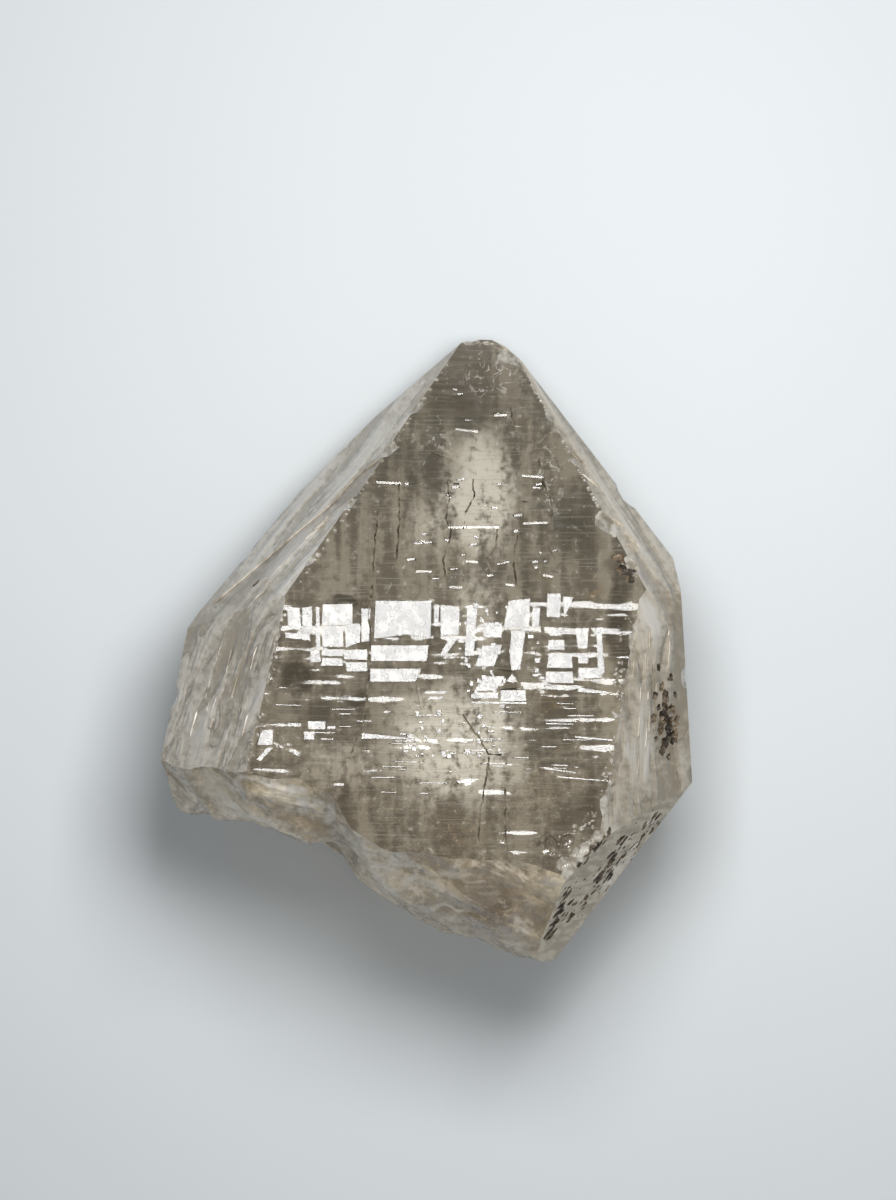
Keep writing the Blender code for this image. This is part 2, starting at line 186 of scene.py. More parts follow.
brokenBase = {
    # across, where the break leaves the front, how far out it goes
    "line": (
        (-33.0, -11.0, -12.2), (-28.5, -12.4, -14.6), (-26.3, -12.9, -17.7), (-23.0, -13.1, -19.0),
        (-18.5, -13.4, -20.2), (-13.8, -14.2, -21.6), (-9.7, -16.4, -22.1), (-7.9, -19.4, -23.3),
        (-6.0, -20.9, -26.0), (-3.9, -21.9, -27.9), (-1.0, -22.3, -29.2), (3.0, -22.4, -31.7),
        (5.3, -22.3, -32.2), (8.4, -22.4, -33.3), (12.7, -22.9, -34.2), (17.0, -24.5, -35.0),
        (33.0, -27.0, -38.0),
    ),
    "cell": 0.5,
    "reach": 36.0,
    "height": 42.0,
    "bulge": 1.7,
    "undercut": 7.0,
    "undercutBend": 1.25,
    "undercutDrift": 0.35,
    # shell-shaped scoops: across, height, radius, depth
    "scoops": (
        (-25.0, 24.5, 5.0, 0.9), (-18.5, 32.0, 7.0, 1.4), (-12.0, 37.0, 6.0, 1.5), (-7.0, 29.0, 6.5, 1.5),
        (-1.5, 36.5, 6.0, 1.2), (4.5, 30.0, 7.0, 1.1), (9.5, 37.5, 5.0, 1.0), (-15.5, 18.0, 9.0, 2.2),
        (-3.0, 13.0, 10.0, 2.6), (8.5, 17.5, 8.5, 1.8), (-12.0, 5.0, 8.0, 1.6), (3.0, 3.5, 7.0, 1.4),
    ),
    "ripple": 0.26,
    "ripplePitch": 4.2,
    "roughness": 0.3,
    "grain": 0.14,
}


def readBetween(stations, x, column):
    for near, far in zip(stations, stations[1:]):
        if x <= far[0]:
            share = max(0.0, (x - near[0]) / (far[0] - near[0]))
            return near[column] + share * (far[column] - near[column])
    return stations[-1][column]


def breakDepth(x, z):
    base = brokenBase
    below = max(0.0, 27.0 - z)
    leaves = readBetween(base["line"], x, 1)
    furthest = readBetween(base["line"], x + base["undercutDrift"] * below, 2)
    top = min(base["height"], 27.0 + 1.6 * max(0.0, x + 28.5))
    middle = top - 15.0 + 7.0 * max(0.0, min(1.0, -x / 28.0))
    if z >= middle:
        rise = min(1.0, (z - middle) / (top - middle))
        y = furthest + (leaves - furthest) * rise ** base["bulge"]
    else:
        y = furthest + base["undercut"] * ((middle - z) / middle) ** base["undercutBend"]
    scooped = 0.0
    for across, height, radius, depth in base["scoops"]:
        near = math.hypot(x - across, z - height) / radius
        if near < 1.0:
            ripple = base["ripple"] * math.sin(2 * math.pi * near * radius / base["ripplePitch"])
            scooped = max(scooped, depth * (1.0 - near * near) + 2 * ripple * near * (1.0 - near))
    rough = base["roughness"] * noise.noise(Vector((x * 0.3, z * 0.3, 3.0)))
    grain = base["grain"] * noise.fractal(Vector((x * 0.8, z * 0.8, 7.0)), 0.9, 2.2, 3)
    return y + scooped + max(rough, -0.1) + max(grain, -0.08)


def pastTheBreak():
    # everything past the broken base, as a block whose inner side is the break
    bm = bmesh.new()
    cell, reach = brokenBase["cell"], brokenBase["reach"]
    across = math.ceil(2 * reach / cell)
    up = math.ceil(1.2 * brokenBase["height"] / cell)
    rows = []
    for j in range(up + 1):
        z = (j - 7) * cell
        places = [-reach + i * cell for i in range(across + 1)]
        rows.append([bm.verts.new((x, breakDepth(x, z), z)) for x in places])
    for low, high in zip(rows, rows[1:]):
        for i in range(across):
            bm.faces.new((low[i], high[i], high[i + 1], low[i + 1]))
    rim = [edge for edge in bm.edges if edge.is_boundary]
    skirt = bmesh.ops.extrude_edge_only(bm, edges=rim)["geom"]
    for vert in (part for part in skirt if isinstance(part, bmesh.types.BMVert)):
        vert.co.y = -crystal["stock"]
    bmesh.ops.holes_fill(bm, edges=[edge for edge in bm.edges if edge.is_boundary], sides=0)
    bmesh.ops.triangulate(bm, faces=bm.faces[:])
    bmesh.ops.recalc_face_normals(bm, faces=bm.faces[:])
    return objectFrom("pastTheBreak", bm, ["broken"])


plates = {
    # growth plates: outline as the front view shows it, and how its top is turned and leans
    "frontPrism": (
        (((-14.9, 4.2), (-13.5, 4.2), (-13.3, 1.9), (-14.8, 1.7)), 3.5, 8.0),
        (((-13.3, 4.2), (-12.2, 4.3), (-12.1, 1.4), (-13.2, 1.5)), 2.0, 9.4),
        (((-15.2, 1.5), (-12.4, 1.3), (-12.3, 0.6), (-15.1, 0.9)), 3.0, 8.6),
        (((-11.8, 4.3), (-11.4, 4.3), (-11.3, -0.1), (-11.8, -0.2)), 4.0, 7.0),
        (((-11.1, 4.5), (-7.8, 4.6), (-7.8, 2.2), (-11.2, 2.2)), 3.4, 8.8),
        (((-11.2, 2.0), (-8.8, 2.0), (-8.8, -0.1), (-11.1, -0.1)), 2.4, 7.6),
        (((-8.7, 2.5), (-7.0, 2.5), (-7.0, 0.4), (-8.6, -0.2)), 3.8, 9.6),
        (((-6.9, 4.1), (-5.9, 4.1), (-6.0, 0.5), (-6.9, 0.4)), 2.2, 8.2),
        (((-12.4, -0.3), (-11.4, -0.3), (-11.2, -1.7), (-12.4, -1.8)), 3.6, 9.2),
        (((-11.2, -0.3), (-8.8, -0.3), (-8.8, -1.1), (-11.2, -1.0)), 3.2, 7.8),
        (((-11.1, -1.2), (-8.9, -1.3), (-8.8, -2.1), (-11.3, -2.1)), 2.6, 9.8),
        (((-8.8, -0.4), (-6.2, -0.3), (-6.2, -1.5), (-8.8, -1.4)), 4.0, 8.6),
        (((-8.7, -1.7), (-6.2, -1.7), (-6.2, -2.7), (-8.5, -2.7)), 2.8, 8.0),
        (((-5.4, 4.9), (0.7, 4.9), (0.6, 0.9), (-2.0, 1.2), (-5.6, 0.8)), 3.0, 8.6),
        (((-5.9, 0.1), (0.4, 0.1), (0.2, -1.6), (-5.9, -1.6)), 2.6, 9.0),
        (((-6.0, -2.4), (-0.4, -2.4), (-1.0, -3.8), (-6.0, -3.8)), 3.4, 8.2),
        (((0.9, 4.5), (1.5, 4.5), (1.4, 2.2), (0.9, 2.1)), 4.2, 9.4),
        (((1.6, 4.5), (3.7, 4.3), (3.6, 1.2), (1.6, 1.1)), 2.2, 7.6),
        (((2.6, 1.0), (3.6, 1.0), (2.1, -1.1), (1.5, -1.0)), 3.0, 8.8),
        (((-0.1, -4.8), (2.4, -4.8), (2.1, -5.1), (-0.2, -5.1)), 3.0, 8.4),
        (((0.0, -5.4), (2.0, -5.4), (1.8, -5.7), (0.0, -5.7)), 3.0, 8.4),
        (((4.5, 4.2), (5.6, 4.2), (5.2, -1.1), (4.2, -1.1)), 2.0, 9.6),
        (((6.2, 2.6), (8.3, 2.5), (8.2, 0.9), (6.2, 0.9)), 4.4, 7.4),
        (((6.1, 0.1), (8.3, 0.2), (7.4, -2.2), (5.3, -2.2)), 3.0, 8.6),
        (((6.3, -3.2), (8.6, -3.2), (7.6, -4.8), (5.2, -4.8)), 2.6, 9.2),
        (((5.1, -4.95), (7.9, -4.95), (7.9, -5.6), (5.0, -5.6)), 3.2, 8.2),
        (((8.0, -4.7), (10.8, -4.7), (10.9, -5.9), (8.0, -5.9)), 3.0, 8.6),
        (((4.9, -5.9), (10.9, -6.0), (10.9, -6.2), (4.9, -6.1)), 3.0, 8.8),
        (((8.9, 4.9), (11.3, 5.2), (11.2, 2.0), (8.4, 2.0)), 3.6, 9.0),
        (((9.2, 1.8), (10.8, 1.8), (10.2, -2.6), (9.0, -2.6)), 2.2, 8.0),
        (((11.5, 4.2), (12.4, 4.2), (12.2, 2.0), (11.4, 2.1)), 4.4, 10.0),
        (((13.1, 5.7), (14.6, 5.7), (14.5, 3.0), (13.0, 3.1)), 2.4, 7.4),
        (((14.8, 5.4), (16.0, 5.3), (14.9, 2.9)), 3.4, 8.8),
        (((13.3, 1.8), (14.7, 1.8), (14.6, 1.1), (13.3, 1.1)), 3.0, 8.6),
        (((13.2, 0.7), (15.0, 0.7), (15.0, -0.4), (13.1, -0.4)), 2.2, 7.6),
        (((13.2, -0.9), (15.8, -0.9), (15.9, -2.4), (13.0, -2.3)), 3.8, 9.2),
        (((12.9, -2.7), (15.9, -2.7), (16.0, -4.0), (12.8, -3.9)), 2.8, 8.4),
        (((16.1, 2.0), (17.6, 2.0), (17.4, -0.3), (16.4, -0.3)), 3.4, 7.8),
        (((18.4, 2.0), (18.9, 2.0), (19.3, -2.9), (18.6, -3.4), (18.4, -0.5)), 2.4, 9.2),
        (((16.3, -0.7), (17.6, -0.7), (17.5, -1.9), (16.4, -1.9)), 4.2, 9.4),
        (((16.4, -2.3), (19.2, -2.3), (19.0, -3.4), (16.4, -3.5)), 3.0, 8.4),
        (((12.8, -4.4), (15.0, -4.5), (15.0, -4.7), (12.8, -4.6)), 3.0, 8.6),
        (((16.3, -4.4), (19.6, -4.9), (19.6, -5.1), (16.4, -4.9)), 3.0, 8.6),
        (((-17.6, -8.9), (-16.3, -8.9), (-16.4, -10.6), (-18.1, -10.6)), 3.2, 8.6),
        (((-17.0, -10.8), (-16.3, -10.8), (-17.7, -12.3), (-18.2, -12.2)), 3.0, 8.6),
        (((-14.8, -8.2), (-13.3, -8.2), (-13.3, -8.6), (-14.8, -8.6)), 3.0, 8.4),
        (((-12.7, -8.0), (-10.7, -8.0), (-10.7, -8.9), (-12.6, -8.9)), 3.6, 9.0),
        (((-13.1, -9.1), (-11.9, -9.1), (-11.9, -10.0), (-13.1, -10.0)), 2.4, 7.8),
        (((-10.6, -8.5), (-9.6, -8.5), (-9.7, -8.9), (-10.6, -8.9)), 3.0, 8.6),
        (((-6.9, -9.3), (-4.4, -9.5), (-1.0, -9.9), (-1.0, -10.0), (-4.6, -9.9), (-6.9, -9.9)), 3.0, 8.6),
        (((12.9, -8.2), (16.0, -8.3), (16.0, -8.4), (12.9, -8.35)), 3.0, 8.6),
        (((16.0, -9.6), (20.2, -10.0), (20.2, -10.15), (16.0, -9.8)), 3.0, 8.6),
        (((12.7, -13.0), (16.2, -13.5), (16.2, -13.6), (12.7, -13.15)), 3.0, 8.6),
        (((14.1, -13.9), (19.7, -14.4), (19.7, -14.5), (14.1, -14.05)), 3.0, 8.6),
        (((0.6, -5.4), (-0.5, -6.8), (-1.0, -4.2)), 14.0, 10.0),
        (((8.9, 0.3), (9.3, -2.6), (7.4, -2.5)), -12.0, 16.0),
        (((8.0, -4.6), (10.6, -4.4), (9.3, -2.9)), 8.0, 24.0),
        (((-16.0, -9.2), (-14.7, -9.4), (-15.2, -12.6)), 6.0, 6.6),
    ),
    # steps on the front point, whose lower side is the bright part
    "frontPoint": (
        ((2.4, 12.75), (4.1, 12.75), (8.0, 12.8), (7.4, 14.4), (4.6, 14.4), (2.4, 14.0)),
        ((-2.3, 23.7), (0.1, 24.6), (0.1, 26.4), (-1.2, 25.6)),
        ((3.2, 23.5), (5.8, 23.2), (6.0, 24.8), (3.2, 25.0)),
        ((0.6, 20.9), (3.4, 20.1), (3.6, 21.2), (0.8, 21.8)),
        ((10.5, 13.2), (13.3, 13.3), (13.3, 14.9), (10.7, 14.6)),
        ((4.3, 9.1), (5.7, 9.0), (5.8, 10.6), (4.1, 10.8)),
        ((-1.1, 8.0), (0.7, 8.0), (0.6, 9.6), (-1.1, 9.4)),
        ((2.3, 6.3), (4.0, 6.3), (4.2, 7.6), (2.2, 7.8)),
        ((15.6, 12.8), (17.0, 12.4), (16.8, 13.6), (15.6, 13.9)),
        ((-5.4, 17.7), (-1.8, 17.5), (-1.6, 18.8), (-4.6, 19.4)),
        ((12.6, 7.6), (13.8, 7.4), (13.8, 8.6), (12.7, 8.7)),
        ((8.6, 6.6), (9.6, 6.5), (9.4, 7.6), (8.8, 7.7)),
        ((7.4, 25.0), (9.4, 25.1), (9.2, 25.9), (7.7, 25.8)),
        ((10.4, 18.4), (12.8, 18.2), (13.0, 21.2), (11.0, 22.0)),
    ),
    "root": 0.8,
    "least": 0.05,
    "inset": 0.07,
    "stepRise": 0.14,
    "brightLean": 8.0,
}


def inwards(outline, inset):
    middle = sum((Vector(corner) for corner in outline), Vector((0, 0))) / len(outline)
    return [tuple(Vector(corner) + (middle - Vector(corner)).normalized() * inset) for corner in outline]


def addSolid(bm, floor, roof, finish):
    floor = [bm.verts.new(corner) for corner in floor]
    roof = [bm.verts.new(corner) for corner in roof]
    sides = [bm.faces.new(roof), bm.faces.new(list(reversed(floor)))]
    for i in range(len(floor)):
        j = (i + 1) % len(floor)
        sides.append(bm.faces.new((floor[i], floor[j], roof[j], roof[i])))
    bmesh.ops.recalc_face_normals(bm, faces=sides)
    for made in sides:
        made.material_index = finishOf(finish)


def addPlate(bm, face, outline, turn, lean, finish):
    # a plate whose top faces its own way, and stands at least a little proud all round
    turn, lean = math.radians(turn), math.radians(lean)
    normal = Vector((math.cos(lean) * math.sin(turn), math.sin(lean), math.cos(lean) * math.cos(turn)))
    top = inwards(outline, plates["inset"])
    heights = [-(normal.x * x + normal.y * y) / normal.z for x, y in top]
    lift = max(onFace(face, x, y).z - height for (x, y), height in zip(top, heights)) + plates["least"]
    floor = [onFace(face, x, y, -plates["root"]) for x, y in outline]
    roof = [Vector((x, y, height + lift)) for (x, y), height in zip(top, heights)]
    addSolid(bm, floor, roof, finish)


def addStep(bm, outline):
    # a step whose first side, the lower one, leans back to the bright direction
    rise, root = plates["stepRise"], plates["root"]
    lean = math.radians(crystal["faces"]["frontPoint"][1] - plates["brightLean"])
    skirt = (rise + root) / math.tan(lean) * math.cos(math.radians(crystal["faces"]["frontPoint"][1]))
    lowest = min(y for _, y in outline) + 0.5
    floor = []
    for x, y in outline:
        drop = skirt if y <= lowest else 0.0
        floor.append(onFace("frontPoint", x, y - drop, -root))
    roof = [onFace("frontPoint", x, y, rise) for x, y in inwards(outline, plates["inset"])]
    addSolid(bm, floor, roof, "window")


def namedGrowth():
    bm = bmesh.new()
    for outline, turn, lean in plates["frontPrism"]:
        bright = abs(turn) < 6 and lean < 12
        addPlate(bm, "frontPrism", outline, turn, lean, "plate" if bright else "window")
    for outline in plates["frontPoint"]:
        addStep(bm, outline)
    return objectFrom("namedGrowth", bm)


class Wire:
    # an output of a node, with the sums that shading and growth need
    def __init__(self, tree, socket=None):
        self.tree = tree
        self.socket = socket

    def node(self, kind, settings=None, sockets=None, output=0):
        made = self.tree.nodes.new(kind)
        for name, value in (settings or {}).items():
            if name == "stops":
                ramp = made.color_ramp
                ramp.elements[1].position = 1.0
                for index, (position, colour) in enumerate(value):
                    stop = ramp.elements[index] if index < 2 else ramp.elements.new(position)
                    stop.position, stop.color = position, (*colour, 1.0)
            else:
                setattr(made, name, value)
        for name, value in (sockets or {}).items():
            if isinstance(value, Wire):
                self.tree.links.new(value.socket, made.inputs[name])
            else:
                made.inputs[name].default_value = value
        return Wire(self.tree, made.outputs[output])

    def sum(self, operation, first, second=0.0, clamp=False):
        return self.node("ShaderNodeMath", {"operation": operation, "use_clamp": clamp}, {0: first, 1: second})

    def __add__(self, other):
        return self.sum("ADD", self, other)

    def __sub__(self, other):
        return self.sum("SUBTRACT", self, other)

    def __rsub__(self, other):
        return self.sum("SUBTRACT", other, self)

    def __mul__(self, other):
        return self.sum("MULTIPLY", self, other)

    def __truediv__(self, other):
        return self.sum("DIVIDE", self, other)

    def __pow__(self, other):
        return self.sum("POWER", self, other)

    __radd__ = __add__
    __rmul__ = __mul__

    def clamped(self):
        return self.sum("ADD", self, 0.0, True)

    def larger(self, other):
        return self.sum("MAXIMUM", self, other)

    def smaller(self, other):
        return self.sum("MINIMUM", self, other)


def emptyTree(name, inputs):
    tree = bpy.data.node_groups.new(name, "GeometryNodeTree")
    tree.interface.new_socket("Geometry", in_out="OUTPUT", socket_type="NodeSocketGeometry")
    tree.interface.new_socket("Geometry", in_out="INPUT", socket_type="NodeSocketGeometry")
    for title, kind in inputs.items():
        tree.interface.new_socket(title, in_out="INPUT", socket_type="NodeSocket" + kind)
    entry = tree.nodes.new("NodeGroupInput")
    given = {socket.name: Wire(tree, socket) for socket in entry.outputs if socket.name}
    return tree, given, tree.nodes.new("NodeGroupOutput")


def scatterTree():
    # small tapered plates, strewn over patches of a face and rooted in it
    inputs = {
        "Density": "Float", "Seed": "Int", "Lying": "Vector", "Smallest": "Vector", "Largest": "Vector",
        "Least Tilt": "Vector", "Most Tilt": "Vector", "Taper": "Float", "Finish": "Material",
    }
    tree, given, result = emptyTree("scatteredPlates", inputs)
    start = Wire(tree)
    points = start.node(
        "GeometryNodeDistributePointsOnFaces",
        {"distribute_method": "RANDOM"},
        {"Mesh": given["Geometry"], "Density": given["Density"], "Seed": given["Seed"]},
    )
    size = start.node(
        "FunctionNodeRandomValue",
        {"data_type": "FLOAT_VECTOR"},
        {0: given["Smallest"], 1: given["Largest"], "Seed": given["Seed"]},
    )
    tilt = start.node(
        "FunctionNodeRandomValue",
        {"data_type": "FLOAT_VECTOR"},
        {0: given["Least Tilt"], 1: given["Most Tilt"], "Seed": given["Seed"] + 7.0},
    )
    lying = start.node("FunctionNodeEulerToRotation", {}, {"Euler": given["Lying"]})
    tilting = start.node("FunctionNodeEulerToRotation", {}, {"Euler": tilt})
    turned = start.node(
        "FunctionNodeRotateRotation", {"rotation_space": "LOCAL"}, {"Rotation": lying, "Rotate By": tilting}
    )
    plate = start.node(
        "GeometryNodeMeshCone",
        {"fill_type": "NGON"},
        {"Vertices": 4, "Radius Top": given["Taper"] * 0.7071, "Radius Bottom": 0.7071, "Depth": 1.0},
    )
    squared = start.node(
        "GeometryNodeTransform",
        {},
        {"Geometry": plate, "Translation": (0, 0, -0.5), "Rotation": (0, 0, math.radians(45))},
    )
    strewn = start.node(
        "GeometryNodeInstanceOnPoints",
        {},
        {"Points": points, "Instance": squared, "Rotation": turned, "Scale": size},
    )
    realized = start.node("GeometryNodeRealizeInstances", {}, {"Geometry": strewn})
    finished = start.node(
        "GeometryNodeSetMaterial", {}, {"Geometry": realized, "Material": given["Finish"]}
    )
    tree.links.new(finished.socket, result.inputs["Geometry"])
    return tree


def seamTree():
    # wandering grooves along given lines
    inputs = {"Step": "Float", "Wander": "Float", "Pitch": "Float", "Width": "Float", "Finish": "Material"}
    tree, given, result = emptyTree("growthSeams", inputs)
    start = Wire(tree)
    line = start.node("GeometryNodeMeshToCurve", {}, {"Mesh": given["Geometry"]})
    even = start.node(
        "GeometryNodeResampleCurve", {"mode": "LENGTH"}, {"Curve": line, "Length": given["Step"]}
    )
    wandering = start.node(
        "ShaderNodeTexNoise",
        {},
        {"Vector": start.node("GeometryNodeInputPosition"), "Scale": given["Pitch"], "Detail": 2.0},
        1,
    )
    centred = start.node("ShaderNodeVectorMath", {"operation": "SUBTRACT"}, {0: wandering, 1: (0.5, 0.5, 0.5)})
    offset = start.node("ShaderNodeVectorMath", {"operation": "SCALE"}, {0: centred, "Scale": given["Wander"]})
    moved = start.node("GeometryNodeSetPosition", {}, {"Geometry": even, "Offset": offset})
    circle = start.node(
        "GeometryNodeCurvePrimitiveCircle", {"mode": "RADIUS"}, {"Resolution": 4, "Radius": given["Width"] * 0.5}
    )
    groove = start.node(
        "GeometryNodeCurveToMesh", {}, {"Curve": moved, "Profile Curve": circle, "Fill Caps": True}
    )
    realized = start.node("GeometryNodeRealizeInstances", {}, {"Geometry": groove})
    finished = start.node(
        "GeometryNodeSetMaterial", {}, {"Geometry": realized, "Material": given["Finish"]}
    )
    tree.links.new(finished.socket, result.inputs["Geometry"])
    return tree


def plainMesh(made):
    # the object's evaluated mesh takes the place of its modifiers
    bpy.context.view_layer.update()
    evaluated = made.evaluated_get(bpy.context.evaluated_depsgraph_get())
    mesh = bpy.data.meshes.new_from_object(evaluated)
    made.modifiers.clear()
    made.data = mesh
    return made


def grown(made, tree, values):
    modifier = made.modifiers.new(tree.name, "NODES")
    modifier.node_group = tree
    for item in tree.interface.items_tree:
        if item.in_out == "INPUT" and item.name in values:
            modifier[item.identifier] = values[item.name]
    return plainMesh(made)


strewn = {
    # small plates: face, finish, turn on it, how many to a square millimetre, taper, corners of the
    # patches that they lie on, size and tilt from least to most
    "crumbs": {
        "face": "frontPrism", "finish": "plate", "turn": 0.0, "density": 0.7, "seed": 5, "taper": 0.75,
        "patches": (
            ((3.4, -7.0), (9.0, -7.0), (9.0, 4.6), (3.4, 4.6)), ((11.2, -4.0), (13.2, -4.0), (13.2, 1.6), (11.2, 1.6)),
            ((-3.0, -12.0), (8.0, -12.0), (8.0, -7.0), (-3.0, -7.0)),
        ),
        "smallest": (0.18, 0.14, 0.14), "largest": (0.8, 0.7, 0.36),
        "leastTilt": (-3.0, -3.0, -6.0), "mostTilt": (4.0, 3.0, 6.0),
    },
    "striations": {
        "face": "frontPrism", "finish": "plate", "turn": 0.0, "density": 0.15, "seed": 9, "taper": 0.8,
        "patches": (
            ((-16.0, -10.5), (-6.0, -10.5), (-6.0, -4.4), (-15.6, -4.4)),
            ((-7.0, -16.0), (11.0, -16.0), (11.0, -7.0), (-7.0, -7.0)),
            ((12.0, -15.0), (18.0, -15.0), (18.6, -6.0), (12.0, -6.0)),
        ),
        "smallest": (0.5, 0.08, 0.12), "largest": (4.0, 0.14, 0.22),
        "leastTilt": (-3.0, -1.0, -2.4), "mostTilt": (3.0, 1.0, 0.4),
    },
    "pointSteps": {
        "face": "frontPoint", "finish": "plate", "turn": 0.0, "density": 0.15, "seed": 3, "taper": 0.7,
        "patches": (
            ((-2.0, 6.5), (9.0, 6.5), (8.6, 18.0), (-1.0, 18.0)), ((9.6, 7.0), (15.0, 7.0), (13.6, 18.0), (9.6, 20.0)),
            ((2.0, 24.4), (8.4, 24.4), (8.0, 29.4), (3.4, 29.4)),
        ),
        "smallest": (0.2, 0.16, 0.2), "largest": (1.3, 0.34, 0.5),
        "leastTilt": (31.0, -5.0, -9.0), "mostTilt": (42.0, 5.0, 9.0),
    },
    "rightCrumbs": {
        "face": "frontPrism", "finish": "chip", "turn": 0.0, "density": 2.2, "seed": 15, "taper": 0.6,
        "patches": (
            ((21.0, 3.0), (22.3, 3.0), (20.9, -8.0), (20.0, -8.0)), ((19.8, -9.5), (20.8, -9.5), (19.6, -17.8), (18.3, -17.4)),
            ((18.2, -17.2), (19.6, -18.3), (14.2, -23.0), (12.4, -21.6)),
        ),
        "smallest": (0.16, 0.16, 0.2), "largest": (0.62, 0.5, 0.46),
        "leastTilt": (-24.0, -24.0, 0.0), "mostTilt": (24.0, 24.0, 90.0),
    },
    "leftCrumbs": {
        "face": "frontPrism", "finish": "chip", "turn": 0.0, "density": 1.3, "seed": 17, "taper": 0.6,
        "patches": (
            ((-15.4, 0.0), (-16.2, 0.0), (-18.0, -8.0), (-17.4, -8.0)), ((-18.2, -8.0), (-17.2, -8.0), (-18.0, -12.9), (-19.6, -12.6)),
        ),
        "smallest": (0.14, 0.14, 0.2), "largest": (0.5, 0.5, 0.42),
        "leastTilt": (-20.0, -20.0, 0.0), "mostTilt": (20.0, 20.0, 90.0),
    },
    "leftLamellae": {
        "face": "leftPrism", "finish": "left", "turn": 6.0, "density": 0.16, "seed": 21, "taper": 0.6,
        "patches": (((-17.6, 0.6), (-19.4, -9.0), (-25.6, -9.0), (-22.6, 0.0)),),
        "smallest": (0.15, 1.0, 0.08), "largest": (0.6, 4.0, 0.24),
        "leastTilt": (-1.0, -9.0, -5.0), "mostTilt": (1.0, 9.0, 5.0),
    },
    "leftShreds": {
        "face": "leftPoint", "finish": "left", "turn": 36.0, "density": 0.22, "seed": 23, "taper": 0.6,
        "patches": (((-7.6, 16.4), (-9.6, 15.2), (-19.4, 6.4), (-17.4, 5.6)),),
        "smallest": (0.2, 1.0, 0.16), "largest": (0.5, 3.2, 0.3),
        "leastTilt": (-1.0, -7.0, -6.0), "mostTilt": (1.0, 7.0, 6.0),
    },
    "rightLamellae": {
        "face": "rightPrism", "finish": "right", "turn": 0.0, "density": 0.16, "seed": 31, "taper": 0.6,
        "patches": (((22.8, 2.6), (21.4, -13.0), (25.6, -13.0), (26.6, 2.6)),),
        "smallest": (0.15, 1.0, 0.08), "largest": (0.6, 3.6, 0.24),
        "leastTilt": (-1.0, -8.0, -4.0), "mostTilt": (1.0, 8.0, 4.0),
    },
    "rightShreds": {
        "face": "rightPoint", "finish": "right", "turn": -32.0, "density": 0.2, "seed": 33, "taper": 0.6,
        "patches": (((14.6, 22.4), (16.6, 20.6), (24.0, 9.6), (22.4, 9.6)),),
        "smallest": (0.2, 1.0, 0.2), "largest": (0.6, 3.2, 0.5),
        "leastTilt": (-1.0, -9.0, -6.0), "mostTilt": (1.0, 9.0, 6.0),
    },
    "backRidges": {
        "face": "backLeftPrism", "finish": "back", "turn": 0.0, "density": 0.06, "seed": 41, "taper": 0.7,
        "patches": (((-26.0, -10.0), (-19.0, -10.0), (-18.0, 0.0), (-24.0, 0.0)),),
        "smallest": (1.5, 0.3, 0.2), "largest": (6.0, 1.2, 0.5),
        "leastTilt": (-5.0, -1.0, -3.0), "mostTilt": (5.0, 1.0, 3.0),
    },
}

seams = {
    "lines": (
        ((-5.2, 14.5), (-5.6, 10.0), (-5.8, 5.2)), ((-6.0, 4.4), (-6.1, -3.0), (-6.4, -7.5), (-8.0, -11.5)),
        ((2.4, 17.7), (2.6, 16.0), (2.1, 13.7), (2.8, 12.6), (2.4, 10.8), (1.9, 9.5), (2.1, 7.4)),
        ((5.1, 18.1), (5.3, 16.0), (4.35, 14.5), (4.1, 12.6)),
        ((7.8, 12.6), (7.6, 10.8), (6.6, 9.4), (7.25, 7.4)),
        ((12.2, 20.2), (12.8, 17.5), (13.5, 16.0), (13.75, 14.9), (13.6, 12.9), (13.4, 10.4), (13.95, 9.3)),
        ((9.3, 25.9), (9.55, 23.9), (10.8, 23.8)), ((4.0, -7.3), (5.6, -9.6), (6.8, -11.6), (8.2, -11.6)),
        ((6.8, -11.9), (6.6, -14.0), (5.9, -17.5), (5.6, -22.0)), ((8.5, -15.0), (8.6, -21.8)),
        ((-3.0, 19.0), (-2.8, 14.0), (-3.2, 9.0)), ((9.9, 12.0), (9.5, 9.5), (9.8, 6.5)),
    ),
    "step": 0.45,
    "wander": 0.55,
    "pitch": 1.1,
    "width": 0.26,
}


def facePatch(name, face, patches):
    bm = bmesh.new()
    for corners in patches:
        bm.faces.new([bm.verts.new(onFace(face, x, y)) for x, y in corners])
    bmesh.ops.recalc_face_normals(bm, faces=bm.faces[:])
    return objectFrom(name, bm, [])


def scatteredGrowth():
    tree = scatterTree()
    made = []
    for name, plan in strewn.items():
        patch = facePatch(name, plan["face"], plan["patches"])
        values = {
            "Density": plan["density"],
            "Seed": plan["seed"],
            "Lying": tuple(lyingOn(plan["face"], -plan["turn"])),
            "Smallest": plan["smallest"],
            "Largest": plan["largest"],
            "Least Tilt": tuple(math.radians(angle) for angle in plan["leastTilt"]),
            "Most Tilt": tuple(math.radians(angle) for angle in plan["mostTilt"]),
            "Taper": plan["taper"],
            "Finish": finishMaterial(plan["finish"]),
        }
        made.append(grown(patch, tree, values))
        print(name, len(patch.data.polygons) // 6, "plates")
    return made


def growthSeams():
    bm = bmesh.new()
    for line in seams["lines"]:
        dots = []
        for x, y in line:
            face = min(("frontPrism", "frontPoint"), key=lambda name: onFace(name, x, y).z)
            dots.append(bm.verts.new(onFace(face, x, y)))
        for near, far in zip(dots, dots[1:]):
            bm.edges.new((near, far))
    values = {
        "Step": seams["step"], "Wander": seams["wander"], "Pitch": seams["pitch"], "Width": seams["width"],
        "Finish": finishMaterial("seam"),
    }
    return grown(objectFrom("growthSeams", bm, []), seamTree(), values)


